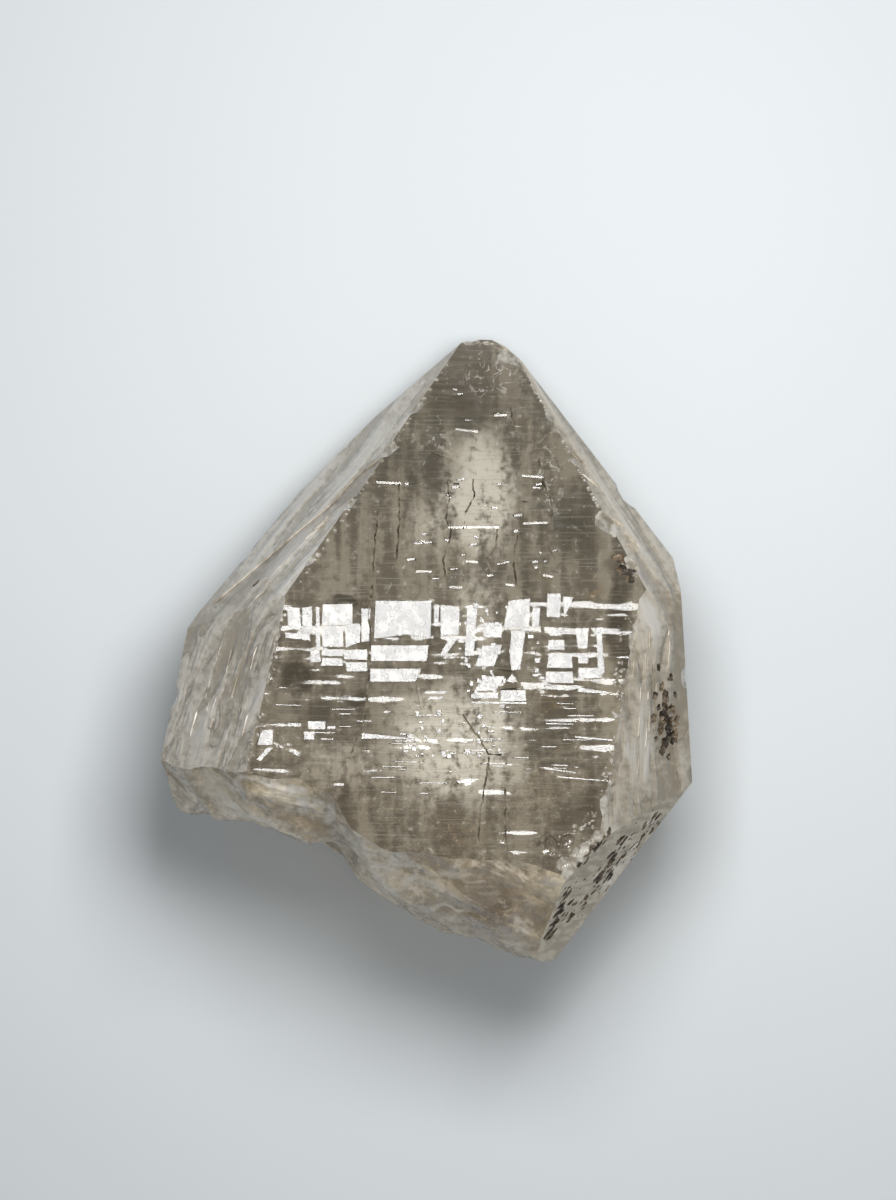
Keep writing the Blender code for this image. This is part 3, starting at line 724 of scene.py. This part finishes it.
hollows = {
    # chips along the edges: the two faces that meet, where, the hollow's radius, its depth
    "chips": (
        ("frontPoint", "leftPoint", -0.9, 26.0, 3.2, 0.20), ("frontPoint", "leftPoint", -3.9, 21.2, 4.0, 0.27),
        ("frontPoint", "leftPoint", -8.3, 15.3, 3.2, 0.20), ("frontPoint", "leftPoint", -12.4, 9.1, 2.8, 0.18),
        ("frontPoint", "rightPoint", 13.6, 24.8, 3.2, 0.23), ("frontPoint", "rightPoint", 16.2, 20.0, 2.8, 0.20),
        ("frontPoint", "rightPoint", 19.7, 13.2, 4.8, 0.50), ("frontPoint", "rightPoint", 22.3, 8.6, 4.0, 0.36),
        ("frontPrism", "leftPrism", -16.0, 0.9, 2.4, 0.16), ("frontPrism", "leftPrism", -17.7, -5.5, 3.2, 0.23),
        ("frontPrism", "leftPrism", -19.0, -11.5, 3.6, 0.36), ("frontPrism", "rightPrism", 22.3, 0.6, 2.8, 0.20),
        ("frontPrism", "rightPrism", 21.2, -6.0, 2.4, 0.18), ("frontPrism", "rightPrism", 20.3, -12.2, 3.2, 0.27),
        ("frontPrism", "rightPrism", 19.3, -17.4, 4.0, 0.41), ("frontPrism", "pittedBase", 15.7, -23.4, 3.6, 0.45),
        ("frontPoint", "chippedTip", 8.6, 31.2, 2.4, 0.27), ("frontPoint", "wornTip", 4.9, 33.2, 1.9, 0.23),
        ("leftPoint", "backLeftPoint", -10.2, 20.6, 4.0, 0.20),
        ("leftPoint", "backLeftShoulder", -19.4, 9.9, 3.2, 0.20),
        ("leftPrism", "backLeftPrism", -27.2, -5.6, 3.2, 0.23),
        ("rightPoint", "backRightPoint", 21.4, 16.2, 3.6, 0.20),
        ("rightPrism", "rightFlank", 27.9, -3.5, 3.2, 0.18),
        ("backLeftPrism", "backPrism", -15.8, -18.0, 4.8, 0.54),
        ("backRightPrism", "rest", 18.6, -1.0, 4.8, 0.45),
    ),
    # nicks that follow a ridge: the two faces, from, to, how many, smallest, largest
    "ridges": (
        ("frontPoint", "leftPoint", (2.6, 31.0), (-13.6, 6.6), 34, 0.12, 0.36),
        ("frontPoint", "rightPoint", (11.0, 29.6), (20.8, 11.0), 40, 0.14, 0.42),
        ("frontPrism", "leftPrism", (-15.2, 3.6), (-19.4, -12.8), 40, 0.14, 0.44),
        ("frontPrism", "rightPrism", (22.8, 3.6), (19.4, -18.6), 60, 0.16, 0.56),
        ("frontPrism", "pittedBase", (19.6, -19.4), (14.2, -23.4), 30, 0.20, 0.70),
        ("frontPoint", "wornTip", (2.4, 33.4), (7.4, 32.9), 12, 0.2, 0.6),
        ("frontPoint", "chippedTip", (7.6, 32.6), (11.0, 29.8), 14, 0.2, 0.6),
    ),
    # pits: face, where, radius, depth
    "pits": (
        ("rightPrism", 25.9, -7.4, 1.1, 0.8), ("rightPrism", 26.4, -8.6, 0.9, 0.9),
        ("rightPrism", 25.9, -5.6, 0.8, 0.5), ("rightPrism", 26.6, -6.8, 0.7, 0.7),
        ("rightPrism", 26.9, -9.9, 0.9, 0.8), ("rightPrism", 26.0, -10.3, 0.8, 0.5),
        ("rightPrism", 25.4, -8.9, 0.6, 0.5), ("rightPrism", 27.2, -8.0, 0.6, 0.6),
        ("rightPrism", 25.6, -11.2, 0.6, 0.5), ("rightPrism", 27.4, -11.0, 0.5, 0.5),
        ("rightPrism", 25.5, -4.4, 0.45, 0.4), ("rightPrism", 25.2, -6.6, 0.45, 0.4),
        ("rightPrism", 27.0, -5.2, 0.4, 0.4), ("rightPrism", 26.3, -12.0, 0.4, 0.3),
        ("rightPrism", 24.9, -10.0, 0.35, 0.3), ("rightPrism", 24.8, -5.4, 0.5, 0.4),
        ("rightPrism", 24.6, -7.8, 0.6, 0.4), ("rightPrism", 26.5, -3.4, 0.5, 0.4),
        ("rightPrism", 25.2, -2.4, 0.4, 0.3), ("frontPoint", 21.6, 8.2, 1.0, 0.7),
        ("frontPoint", 20.9, 9.4, 0.7, 0.6), ("frontPoint", 22.1, 7.2, 0.6, 0.5),
        ("leftPoint", -18.5, 6.9, 0.45, 0.5),
    ),
    "bubbles": (("frontPrism", 13.2, -21.4, 1.2, 0.5), ("frontPrism", 15.3, -20.8, 0.8, 0.4)),
    # rows of small pits: from, to, how many, how far they stray, smallest, largest
    "pitRows": (
        ((20.6, -19.2), (16.0, -23.8), 30, 0.7, 0.20, 0.85), ((15.6, -25.8), (13.2, -31.6), 46, 1.1, 0.20, 0.90),
        ((14.8, -29.6), (25.6, -18.2), 110, 3.4, 0.16, 0.70), ((18.2, -26.0), (21.8, -20.6), 26, 1.2, 0.20, 0.80),
    ),
    # the sunken band on the left point
    "bandOuter": ((-3.6, 21.4), (-7.7, 18.4), (-10.1, 15.6), (-13.9, 12.5), (-18.2, 8.8), (-23.2, 4.6)),
    "bandInner": ((-3.9, 20.2), (-7.2, 16.6), (-10.6, 14.0), (-13.2, 11.3), (-16.4, 8.1), (-20.4, 4.4)),
    "bandDepth": 0.18,
}


def addBall(bm, centre, direction, radius, depth, roundness, ragged, seed, finish):
    lie = Vector((0, 0, 1)).rotation_difference(direction).to_matrix()
    ball = bmesh.ops.create_icosphere(bm, subdivisions=roundness, radius=1.0)["verts"]
    for vert in ball:
        swell = 1.0 + ragged * noise.noise(vert.co * 1.7 + Vector((seed * 3.7, seed, 0)))
        vert.co = centre + lie @ (Vector((radius, radius, depth)) * vert.co * swell)
    for made in {made for vert in ball for made in vert.link_faces}:
        made.material_index = finishOf(finish)


def edgeChips():
    bm = bmesh.new()
    for seed, (first, second, x, y, radius, bite) in enumerate(hollows["chips"]):
        direction = (facing(first) + facing(second)).normalized()
        centre = onFace(first, x, y) + direction * (radius - bite)
        addBall(bm, centre, direction, radius, radius, 3, 0.09, seed + 90, "chip")
    outline = list(hollows["bandOuter"]) + list(reversed(hollows["bandInner"]))
    floor = [onFace("leftPoint", x, y, -hollows["bandDepth"]) for x, y in outline]
    addSolid(bm, floor, [onFace("leftPoint", x, y, 2.0) for x, y in outline], "band")
    return objectFrom("edgeChips", bm)


def nicksAndPits():
    bm = bmesh.new()
    for seed, (face, x, y, radius, depth) in enumerate(hollows["pits"]):
        addBall(bm, onFace(face, x, y), facing(face), radius, depth, 3, 0.75, seed, "pit")
    for seed, (face, x, y, radius, depth) in enumerate(hollows["bubbles"]):
        addBall(bm, onFace(face, x, y), facing(face), radius, depth, 3, 0.2, seed + 6, "window")
    for row, (start, end, count, stray, small, large) in enumerate(hollows["pitRows"]):
        start, end = Vector(start), Vector(end)
        across = Vector((end.y - start.y, start.x - end.x)).normalized()
        for i in range(count):
            scatter = noise.noise(Vector((i * 1.37, row, 8.0))) * stray
            along = (i + 0.5 + noise.noise(Vector((i * 0.71, row, 3.0)))) / count
            place = start.lerp(end, along) + across * scatter
            size = small + (large - small) * abs(noise.noise(Vector((i * 2.11, row, 1.0)))) * 1.4
            centre = onFace("pittedBase", place.x, place.y)
            addBall(bm, centre, facing("pittedBase"), size, size * 0.8, 2, 0.5, i + 70 * row, "pit")
    for seed, (first, second, start, end, count, small, large) in enumerate(hollows["ridges"]):
        direction = (facing(first) + facing(second)).normalized()
        for i in range(count):
            share = (i + 0.5 + 1.6 * noise.noise(Vector((i * 0.83, seed, 5.0)))) / count
            place = Vector(start).lerp(Vector(end), share)
            size = small + (large - small) * abs(noise.noise(Vector((i * 1.91, seed, 2.0)))) * 1.7
            centre = onFace(first, place.x, place.y) + direction * size * 0.35
            addBall(bm, centre, direction, size * 1.3, size * 0.8, 2, 0.35, i + 150 * seed, "chip")
    return objectFrom("nicksAndPits", bm)


def joined(name, things):
    # one object of several, with their finishes kept
    bm = bmesh.new()
    for thing in things:
        first = len(bm.faces)
        bm.from_mesh(thing.data)
        bm.faces.ensure_lookup_table()
        for made in bm.faces[first:]:
            made.material_index = finishOf(thing.data.materials[made.material_index].name)
        bpy.data.objects.remove(thing, do_unlink=True)
    return objectFrom(name, bm)


def combine(target, operation, other, itself=False):
    boolean = target.modifiers.new(other.name, "BOOLEAN")
    boolean.operation = operation
    boolean.object = other
    boolean.solver = "EXACT"
    boolean.use_self = itself
    boolean.material_mode = "TRANSFER"


def fitToFrame(mesh):
    low = Vector(min(vert.co[axis] for vert in mesh.vertices) for axis in range(3))
    high = Vector(max(vert.co[axis] for vert in mesh.vertices) for axis in range(3))
    cadLow, cadHigh = (Vector(corner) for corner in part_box("quartz_point"))
    share = [(cadHigh[axis] - cadLow[axis]) / (high[axis] - low[axis]) for axis in range(3)]
    mesh.transform(Matrix.Translation(cadLow) @ Matrix.Diagonal((*share, 1.0)) @ Matrix.Translation(-low))


def markFinishes(mesh):
    # what the material reads of each face
    used = [mesh.materials[polygon.material_index].name for polygon in mesh.polygons]
    shades = [noise.noise(polygon.normal * 7.0 + polygon.center * 300.0) for polygon in mesh.polygons]

    def mark(name, kind, slot, values):
        mesh.attributes.new(name, kind, "FACE").data.foreach_set(slot, values)

    for tone in ("dark", "pale"):
        mark(tone, "FLOAT_COLOR", "color", [part for name in used for part in (*finishes[name][tone], 1.0)])
    for way in ("across", "along"):
        mark(way, "FLOAT_VECTOR", "vector", [part for name in used for part in finishes[name][way]])
    for trait in ("bend", "relief"):
        mark(trait, "FLOAT", "value", [finishes[name][trait] for name in used])
    mark("clear", "FLOAT", "value", [finishes[name]["clear"] + 0.2 * shade for name, shade in zip(used, shades)])
    mark("rough", "FLOAT", "value", [finishes[name]["rough"] * (1 + shade) for name, shade in zip(used, shades)])
    # how much painted highlight and painted crease shade each finish takes
    paintedLightShare = {"left": 1.0, "band": 1.0, "right": 1.0, "back": 0.6, "broken": 0.5}
    mark("paintedLightShare", "FLOAT", "value", [paintedLightShare.get(name, 0.0) for name in used])
    for finish in ("window", "broken"):
        mark(finish, "FLOAT", "value", [float(name == finish) for name in used])
    mark("side", "FLOAT", "value", [float(name in ("left", "band", "right", "pitted")) for name in used])
    mesh.polygons.foreach_set("use_smooth", [name in ("broken", "chip", "pit") for name in used])


def buildQuartz():
    quartz = facetedCrystal()
    added = [joined("growth", [namedGrowth(), *scatteredGrowth()])]
    removed = [pastTheBreak(), edgeChips(), nicksAndPits(), growthSeams()]
    for helper in added:
        combine(quartz, "UNION", helper, itself=True)
    for helper in removed:
        combine(quartz, "DIFFERENCE", helper, itself=helper.name != "pastTheBreak")
    plainMesh(quartz)
    for helper in added + removed:
        bpy.data.objects.remove(helper, do_unlink=True)
    mesh = quartz.data
    mesh.validate()  # the cuts can leave a face that folds onto itself
    fitToFrame(mesh)
    markFinishes(mesh)
    mesh.materials.clear()
    mesh.polygons.foreach_set("material_index", [0] * len(mesh.polygons))
    print("quartz", len(mesh.polygons), "faces")
    return quartz


looks = {
    "absorption": (0.56, 0.45, 0.31, 1.0),
    "density": 30.0,
    "index": 1.544,
    "milk": (0.71, 0.65, 0.53),
    "smoke": (0.165, 0.135, 0.088),
    "rust": (0.33, 0.225, 0.120),
    "veil": (0.74, 0.71, 0.65),
    "level": (0.50, 0.455, 0.365),
    # painted highlight on pale ridges
    "paintedHighlight": (0.80, 0.77, 0.72),
    # painted shade in thin dark creases
    "paintedCreaseShade": (0.17, 0.148, 0.112),
    # frost, whitened further as a painted highlight
    "frostAndHighlight": (1.0, 0.93, 0.80),
    "stain": (0.27, 0.205, 0.135),
    "brown": (0.22, 0.165, 0.105),
    # marks on the window: middle, half width and half height in millimetres, strength
    "milky": (
        (5.8, 16.5, 4.2, 7.5, 1.0), (0.6, 13.5, 3.6, 5.0, 0.55), (5.5, 4.0, 4.5, 6.5, 0.6),
        (3.0, -10.0, 8.0, 7.0, 1.0), (-9.0, -12.0, 6.5, 4.0, 0.45),
    ),
    "smoky": (
        (3.5, 27.0, 6.5, 5.0, 0.8), (-3.0, 21.0, 4.0, 3.0, 0.5), (15.5, 13.5, 4.2, 5.5, 0.8),
        (-13.6, -2.9, 2.2, 1.6, 1.0), (-11.8, -6.6, 4.4, 1.6, 0.5), (-8.7, -16.0, 0.9, 4.6, 0.8),
        (16.8, -17.3, 4.4, 3.4, 0.75), (-8.7, 5.2, 1.1, 0.5, 1.0),
        (-7.6, -5.4, 1.3, 1.2, 0.9), (20.4, 2.6, 1.5, 6.5, 1.0), (13.0, 5.0, 2.0, 3.4, 0.6),
    ),
    "rusty": (
        (3.5, -19.4, 4.0, 3.4, 0.6), (13.4, -5.6, 3.0, 3.0, 0.6), (13.0, 7.6, 1.6, 1.2, 0.7),
        (17.6, 6.6, 0.8, 1.6, 0.7),
    ),
    "veiled": (
        (7.0, 29.2, 3.6, 2.4, 1.0), (1.0, 22.4, 4.0, 1.2, 0.9), (13.4, 18.5, 1.6, 8.0, 0.9),
        (4.0, 18.5, 3.0, 3.0, 0.6), (5.0, -9.0, 4.6, 5.0, 0.9), (12.2, -2.0, 1.2, 3.0, 1.0),
    ),
    # frosty arcs on the break, partly a painted highlight
    "frostAndHighlightMarks": (
        (-19.6, -14.0, 1.8, 0.7, 0.8), (-17.0, -14.3, 1.8, 0.7, 1.0), (-14.4, -15.0, 1.6, 0.8, 1.0),
        (-12.2, -16.2, 1.2, 0.9, 1.0), (-10.7, -17.9, 0.8, 1.2, 0.9), (-20.4, -16.4, 0.7, 2.2, 0.5),
        (-7.4, -21.0, 1.6, 0.9, 0.8), (-3.4, -22.6, 2.8, 0.7, 0.7), (3.0, -23.8, 2.6, 1.0, 0.6),
        (-1.4, -24.8, 1.2, 0.9, 0.8), (2.4, -27.6, 3.4, 0.4, 0.7),
    ),
    "shaded": ((8.2, -27.8, 6.4, 5.4, 0.95), (-16.6, -16.6, 2.6, 0.9, 0.5), (-3.0, -26.6, 2.2, 1.2, 0.4)),
    # marks on the left and right sides
    "stained": (
        (25.6, -7.0, 1.7, 3.6, 0.8), (26.2, -10.4, 1.4, 1.8, 0.7), (25.0, -3.6, 0.8, 1.6, 0.6),
        (-17.6, 7.6, 2.6, 1.4, 0.45), (-20.4, 4.8, 2.2, 1.6, 0.4), (22.8, 7.6, 1.0, 2.8, 0.6),
        (20.4, -18.6, 1.2, 1.0, 0.7), (14.2, -29.6, 0.9, 2.6, 0.5), (24.4, -15.6, 1.4, 2.2, 0.3),
    ),
    # relief in millimetres
    "toothPitch": 0.26,
    "toothSlope": 0.42,
    "stepHeight": 0.08,
    "fineStepHeight": 0.03,
}


class Shading(Wire):
    # what the quartz needs besides sums
    def value(self, name, output="Fac"):
        return self.node("ShaderNodeAttribute", {"attribute_name": name}, {}, output)

    def stretched(self, place, amounts, shift=(0.0, 0.0, 0.0)):
        return self.node(
            "ShaderNodeVectorMath", {"operation": "MULTIPLY_ADD"}, {0: place, 1: amounts, 2: shift}
        )

    def along(self, place, way):
        return self.node("ShaderNodeVectorMath", {"operation": "DOT_PRODUCT"}, {0: place, 1: way}, "Value")

    def flat(self, x, y):
        return self.node("ShaderNodeCombineXYZ", {}, {0: x, 1: y})

    def grain(self, place, detail=3.0, roughness=0.55, distortion=0.0):
        sockets = {"Vector": place, "Scale": 1.0, "Detail": detail, "Roughness": roughness, "Distortion": distortion}
        return self.node("ShaderNodeTexNoise", {"noise_dimensions": "2D"}, sockets)

    def cells(self, place):
        # one random value for each blocky cell
        settings = {"distance": "CHEBYCHEV", "voronoi_dimensions": "2D"}
        colour = self.node("ShaderNodeTexVoronoi", settings, {"Vector": place, "Scale": 1.0}, "Color")
        return self.node("ShaderNodeSeparateColor", {}, {0: colour})

    def fade(self, value, low, high):
        settings = {"interpolation_type": "SMOOTHSTEP", "clamp": True}
        return self.node("ShaderNodeMapRange", settings, {"Value": value, "From Min": low, "From Max": high})

    def colours(self, share, first, second):
        first = (*first, 1.0) if isinstance(first, tuple) else first
        second = (*second, 1.0) if isinstance(second, tuple) else second
        return self.node("ShaderNodeMix", {"data_type": "RGBA"}, {0: share, 6: first, 7: second}, 2)

    def patches(self, place, marks):
        # soft ellipses; a weak one is held off the surface, so that it is never quite reached
        nearest = None
        for x, y, halfWidth, halfHeight, strength in marks:
            share = 0.5 - math.sin(math.asin(1.0 - 2.0 * strength) / 3.0)
            heldOff = 0.0 if strength == 1.0 else 1.25 - 0.8 * share
            amounts = (1 / halfWidth, 1 / halfHeight, 0.0)
            apart = self.stretched(place, amounts, (-x / halfWidth, -y / halfHeight, heldOff))
            length = self.node("ShaderNodeVectorMath", {"operation": "LENGTH"}, {0: apart}, "Value")
            nearest = nearest.smaller(length) if nearest else length
        return self.fade(nearest, 1.25, 0.45)


def smokyQuartz():
    material = bpy.data.materials.new("smokyQuartz")
    material.use_nodes = True
    tree = material.node_tree
    tree.nodes.clear()
    s = Shading(tree)
    position = s.node("ShaderNodeTexCoord", {}, {}, "Object")
    place = s.stretched(position, (1000.0, 1000.0, 1000.0))
    x = s.node("ShaderNodeSeparateXYZ", {}, {0: place}, 0)
    y = s.node("ShaderNodeSeparateXYZ", {}, {0: place}, 1)
    swirl = s.node(
        "ShaderNodeTexNoise", {"noise_dimensions": "2D"}, {"Vector": place, "Scale": 0.35, "Detail": 1.0}, 1
    )
    wavy = s.node("ShaderNodeVectorMath", {"operation": "MULTIPLY_ADD"}, {0: swirl, 1: (3.0, 3.0, 0.0), 2: place})
    wavy = s.stretched(wavy, (1.0, 1.0, 0.0), (-1.5, -1.5, 0.0))
    onWindow = s.value("window")
    paintedLightShare = s.value("paintedLightShare")
    onPrism = onWindow * s.fade(y, 6.8, 6.2)

    # the grain of each finish, from its own two tones
    bend = (y - 2.0).larger(0.0) * s.value("bend")
    across = s.along(place, s.value("across", "Vector")) + bend
    along = s.along(place, s.value("along", "Vector"))
    grain = s.grain(s.flat(across, along), 3.0, 0.5, 0.3)
    mottle = s.grain(s.stretched(place, (1.1, 1.1, 0.0)), 3.0, 0.66)
    blend = s.fade(grain * 0.6 + mottle * 0.4, 0.38, 0.62)
    colour = s.colours(blend, s.value("dark", "Color"), s.value("pale", "Color"))

    # the window: milk, smoke and rust in patches, level growth lines, frosty veils
    milk = s.patches(wavy, looks["milky"]) * onWindow * s.fade(grain * 0.4 + mottle * 0.6, 0.28, 0.56)
    colour = s.colours(milk, colour, looks["milk"])
    dark = s.patches(wavy, looks["smoky"]) * onWindow * s.fade(grain * 0.4 + mottle * 0.6, 0.24, 0.5)
    colour = s.colours(dark * 0.85, colour, looks["smoke"])
    rust = s.patches(wavy, looks["rusty"]) * onWindow * s.fade(mottle, 0.35, 0.6)
    colour = s.colours(rust, colour, looks["rust"])
    lines = s.grain(s.stretched(place, (0.16, 4.2, 0.0)), 2.0, 0.7)
    colour = s.colours(s.fade(lines, 0.55, 0.68) * onWindow * 0.5, colour, looks["level"])
    ridge = s.grain(s.stretched(wavy, (0.9, 0.6, 0.0)), 2.0, 0.62)
    fine = (1.0 - s.sum("ABSOLUTE", ridge * 2.0 - 1.0) * 9.0).clamped()
    veiled = s.patches(wavy, looks["veiled"]) * s.fade(mottle, 0.40, 0.56)
    veils = fine * veiled.larger(s.fade(mottle, 0.60, 0.72) * 0.6) * onWindow
    colour = s.colours(veils * 0.85, colour, looks["veil"])

    onBreak = s.value("broken")
    shaded = s.patches(wavy, looks["shaded"]) * onBreak * s.fade(mottle, 0.24, 0.54)
    colour = s.colours(shaded, colour, looks["brown"])
    # frosty arcs on the break: real frost, lightened further as a painted highlight
    frostAndHighlight = s.patches(wavy, looks["frostAndHighlightMarks"]) * onBreak * s.fade(mottle, 0.26, 0.46)
    colour = s.colours(frostAndHighlight, colour, looks["frostAndHighlight"])
    stain = s.patches(wavy, looks["stained"]) * s.value("side") * s.fade(mottle, 0.32, 0.56)
    colour = s.colours(stain, colour, looks["stain"])

    # the sides: a painted highlight on pale ridges and painted shade in thin dark creases, both running with the grain
    colour = s.colours(s.fade(grain, 0.58, 0.72) * paintedLightShare * 0.6, colour, looks["paintedHighlight"])
    # painted shade: a thin dark line along each crease of the grain
    paintedCreaseShade = (1.0 - s.sum("ABSOLUTE", grain - 0.46) * 60.0).clamped()
    colour = s.colours(paintedCreaseShade * paintedLightShare * 0.7, colour, looks["paintedCreaseShade"])

    clear = s.value("clear") * (1.0 - milk * 0.7) * (1.0 - veils * 0.8) + dark * 0.2
    rough = s.value("rough")

    # relief: the prism's striations lean away from the light, tooth by tooth
    tooth = (y + s.grain(s.stretched(place, (0.07, 0.5, 0.0)), 1.0) * 1.6) / looks["toothPitch"]
    cell = s.sum("FLOOR", tooth)
    slope = s.grain(s.flat(x * 0.3, cell * 3.7), 1.0) * looks["toothSlope"]
    teeth = slope * (tooth - cell) * looks["toothPitch"]
    steps = s.cells(s.stretched(place, (0.95, 0.5, 0.0))) * looks["stepHeight"]
    steps = steps + s.cells(s.stretched(place, (2.3, 1.3, 0.0))) * looks["fineStepHeight"]
    stepped = s.fade(s.grain(s.stretched(place, (0.22, 0.14, 0.0)), 1.0), 0.42, 0.55) * onWindow
    height = s.value("relief") * grain + teeth * onPrism + steps * stepped
    normal = s.node("ShaderNodeBump", {}, {"Strength": 1.0, "Distance": mm, "Height": height})

    clearShader = s.node(
        "ShaderNodeBsdfPrincipled",
        {},
        {"Base Color": (0.96, 0.95, 0.92, 1.0), "Roughness": rough, "IOR": looks["index"],
         "Transmission Weight": 1.0, "Normal": normal},
    )
    cloudyShader = s.node(
        "ShaderNodeBsdfPrincipled",
        {},
        {"Base Color": colour, "Roughness": rough, "IOR": looks["index"], "Normal": normal},
    )
    mixed = s.node("ShaderNodeMixShader", {}, {0: (1.0 - clear).clamped(), 1: clearShader, 2: cloudyShader})
    absorbed = s.node(
        "ShaderNodeVolumeAbsorption", {}, {"Color": looks["absorption"], "Density": looks["density"]}
    )
    output = tree.nodes.new("ShaderNodeOutputMaterial")
    tree.links.new(mixed.socket, output.inputs["Surface"])
    tree.links.new(absorbed.socket, output.inputs["Volume"])
    return material


quartz = buildQuartz()
quartz.data.materials.append(smokyQuartz())
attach(quartz, "root")
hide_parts("quartz_point")

studio = {
    "floor": 1.5,
    "floorColour": (0.82, 0.86, 0.88, 1.0),
    "keyPlace": (0.020, 0.052, 0.20),
    "keySize": 0.080,
    "keyPower": 0.318,
    "fillPlace": (0.05, -0.22, 0.08),
    "fillSize": 0.12,
    "fillPower": 0.065,
    "sky": (0.84, 0.87, 0.90),
    "skyStrength": 0.25,
    # the middle of the view in the frame and how much of it the view covers, in millimetres
    "aim": (2.31, 5.26, 23.0),
    "viewHeight": 128.9,
    "cameraDistance": 1500.0,
    "sensor": 36.0,
}


def areaLight(name, place, aim, size, power):
    light = bpy.data.lights.new(name, "AREA")
    light.shape = "SQUARE"
    light.size = size
    light.energy = power
    made = bpy.data.objects.new(name, light)
    made.location = place
    made.rotation_euler = (Vector(place) - Vector(aim)).to_track_quat("Z", "Y").to_euler()
    made.visible_camera = False
    bpy.context.scene.collection.objects.link(made)
    return made


def makeStudio():
    size = studio["floor"]
    mesh = bpy.data.meshes.new("floor")
    corners = [(-size, -size, 0), (size, -size, 0), (size, size, 0), (-size, size, 0)]
    mesh.from_pydata(corners, [], [(0, 1, 2, 3)])
    floor = bpy.data.objects.new("floor", mesh)
    bpy.context.scene.collection.objects.link(floor)
    floorMaterial = bpy.data.materials.new("paleFloor")
    floorMaterial.use_nodes = True
    floorShader = floorMaterial.node_tree.nodes["Principled BSDF"]
    floorShader.inputs["Base Color"].default_value = studio["floorColour"]
    floorShader.inputs["Roughness"].default_value = 0.6
    mesh.materials.append(floorMaterial)

    world = bpy.data.worlds.new("softRoom")
    world.use_nodes = True
    background = world.node_tree.nodes["Background"]
    background.inputs["Color"].default_value = (*studio["sky"], 1.0)
    background.inputs["Strength"].default_value = studio["skyStrength"]
    bpy.context.scene.world = world

    areaLight("key", studio["keyPlace"], (*studio["keyPlace"][:2], 0.0), studio["keySize"], studio["keyPower"])
    areaLight("fill", studio["fillPlace"], (0.0, -0.02, 0.015), studio["fillSize"], studio["fillPower"])

    camera = bpy.data.objects.new("camera", bpy.data.cameras.new("camera"))
    x, y, z = (value * mm for value in studio["aim"])
    camera.location = (x, y, z + studio["cameraDistance"] * mm)
    camera.data.sensor_fit = "VERTICAL"
    camera.data.sensor_height = studio["sensor"]
    camera.data.lens = studio["sensor"] * studio["cameraDistance"] / studio["viewHeight"]
    camera.data.clip_end = 10.0
    bpy.context.scene.collection.objects.link(camera)
    bpy.context.scene.camera = camera
    bpy.context.scene.view_settings.view_transform = "Standard"


makeStudio()
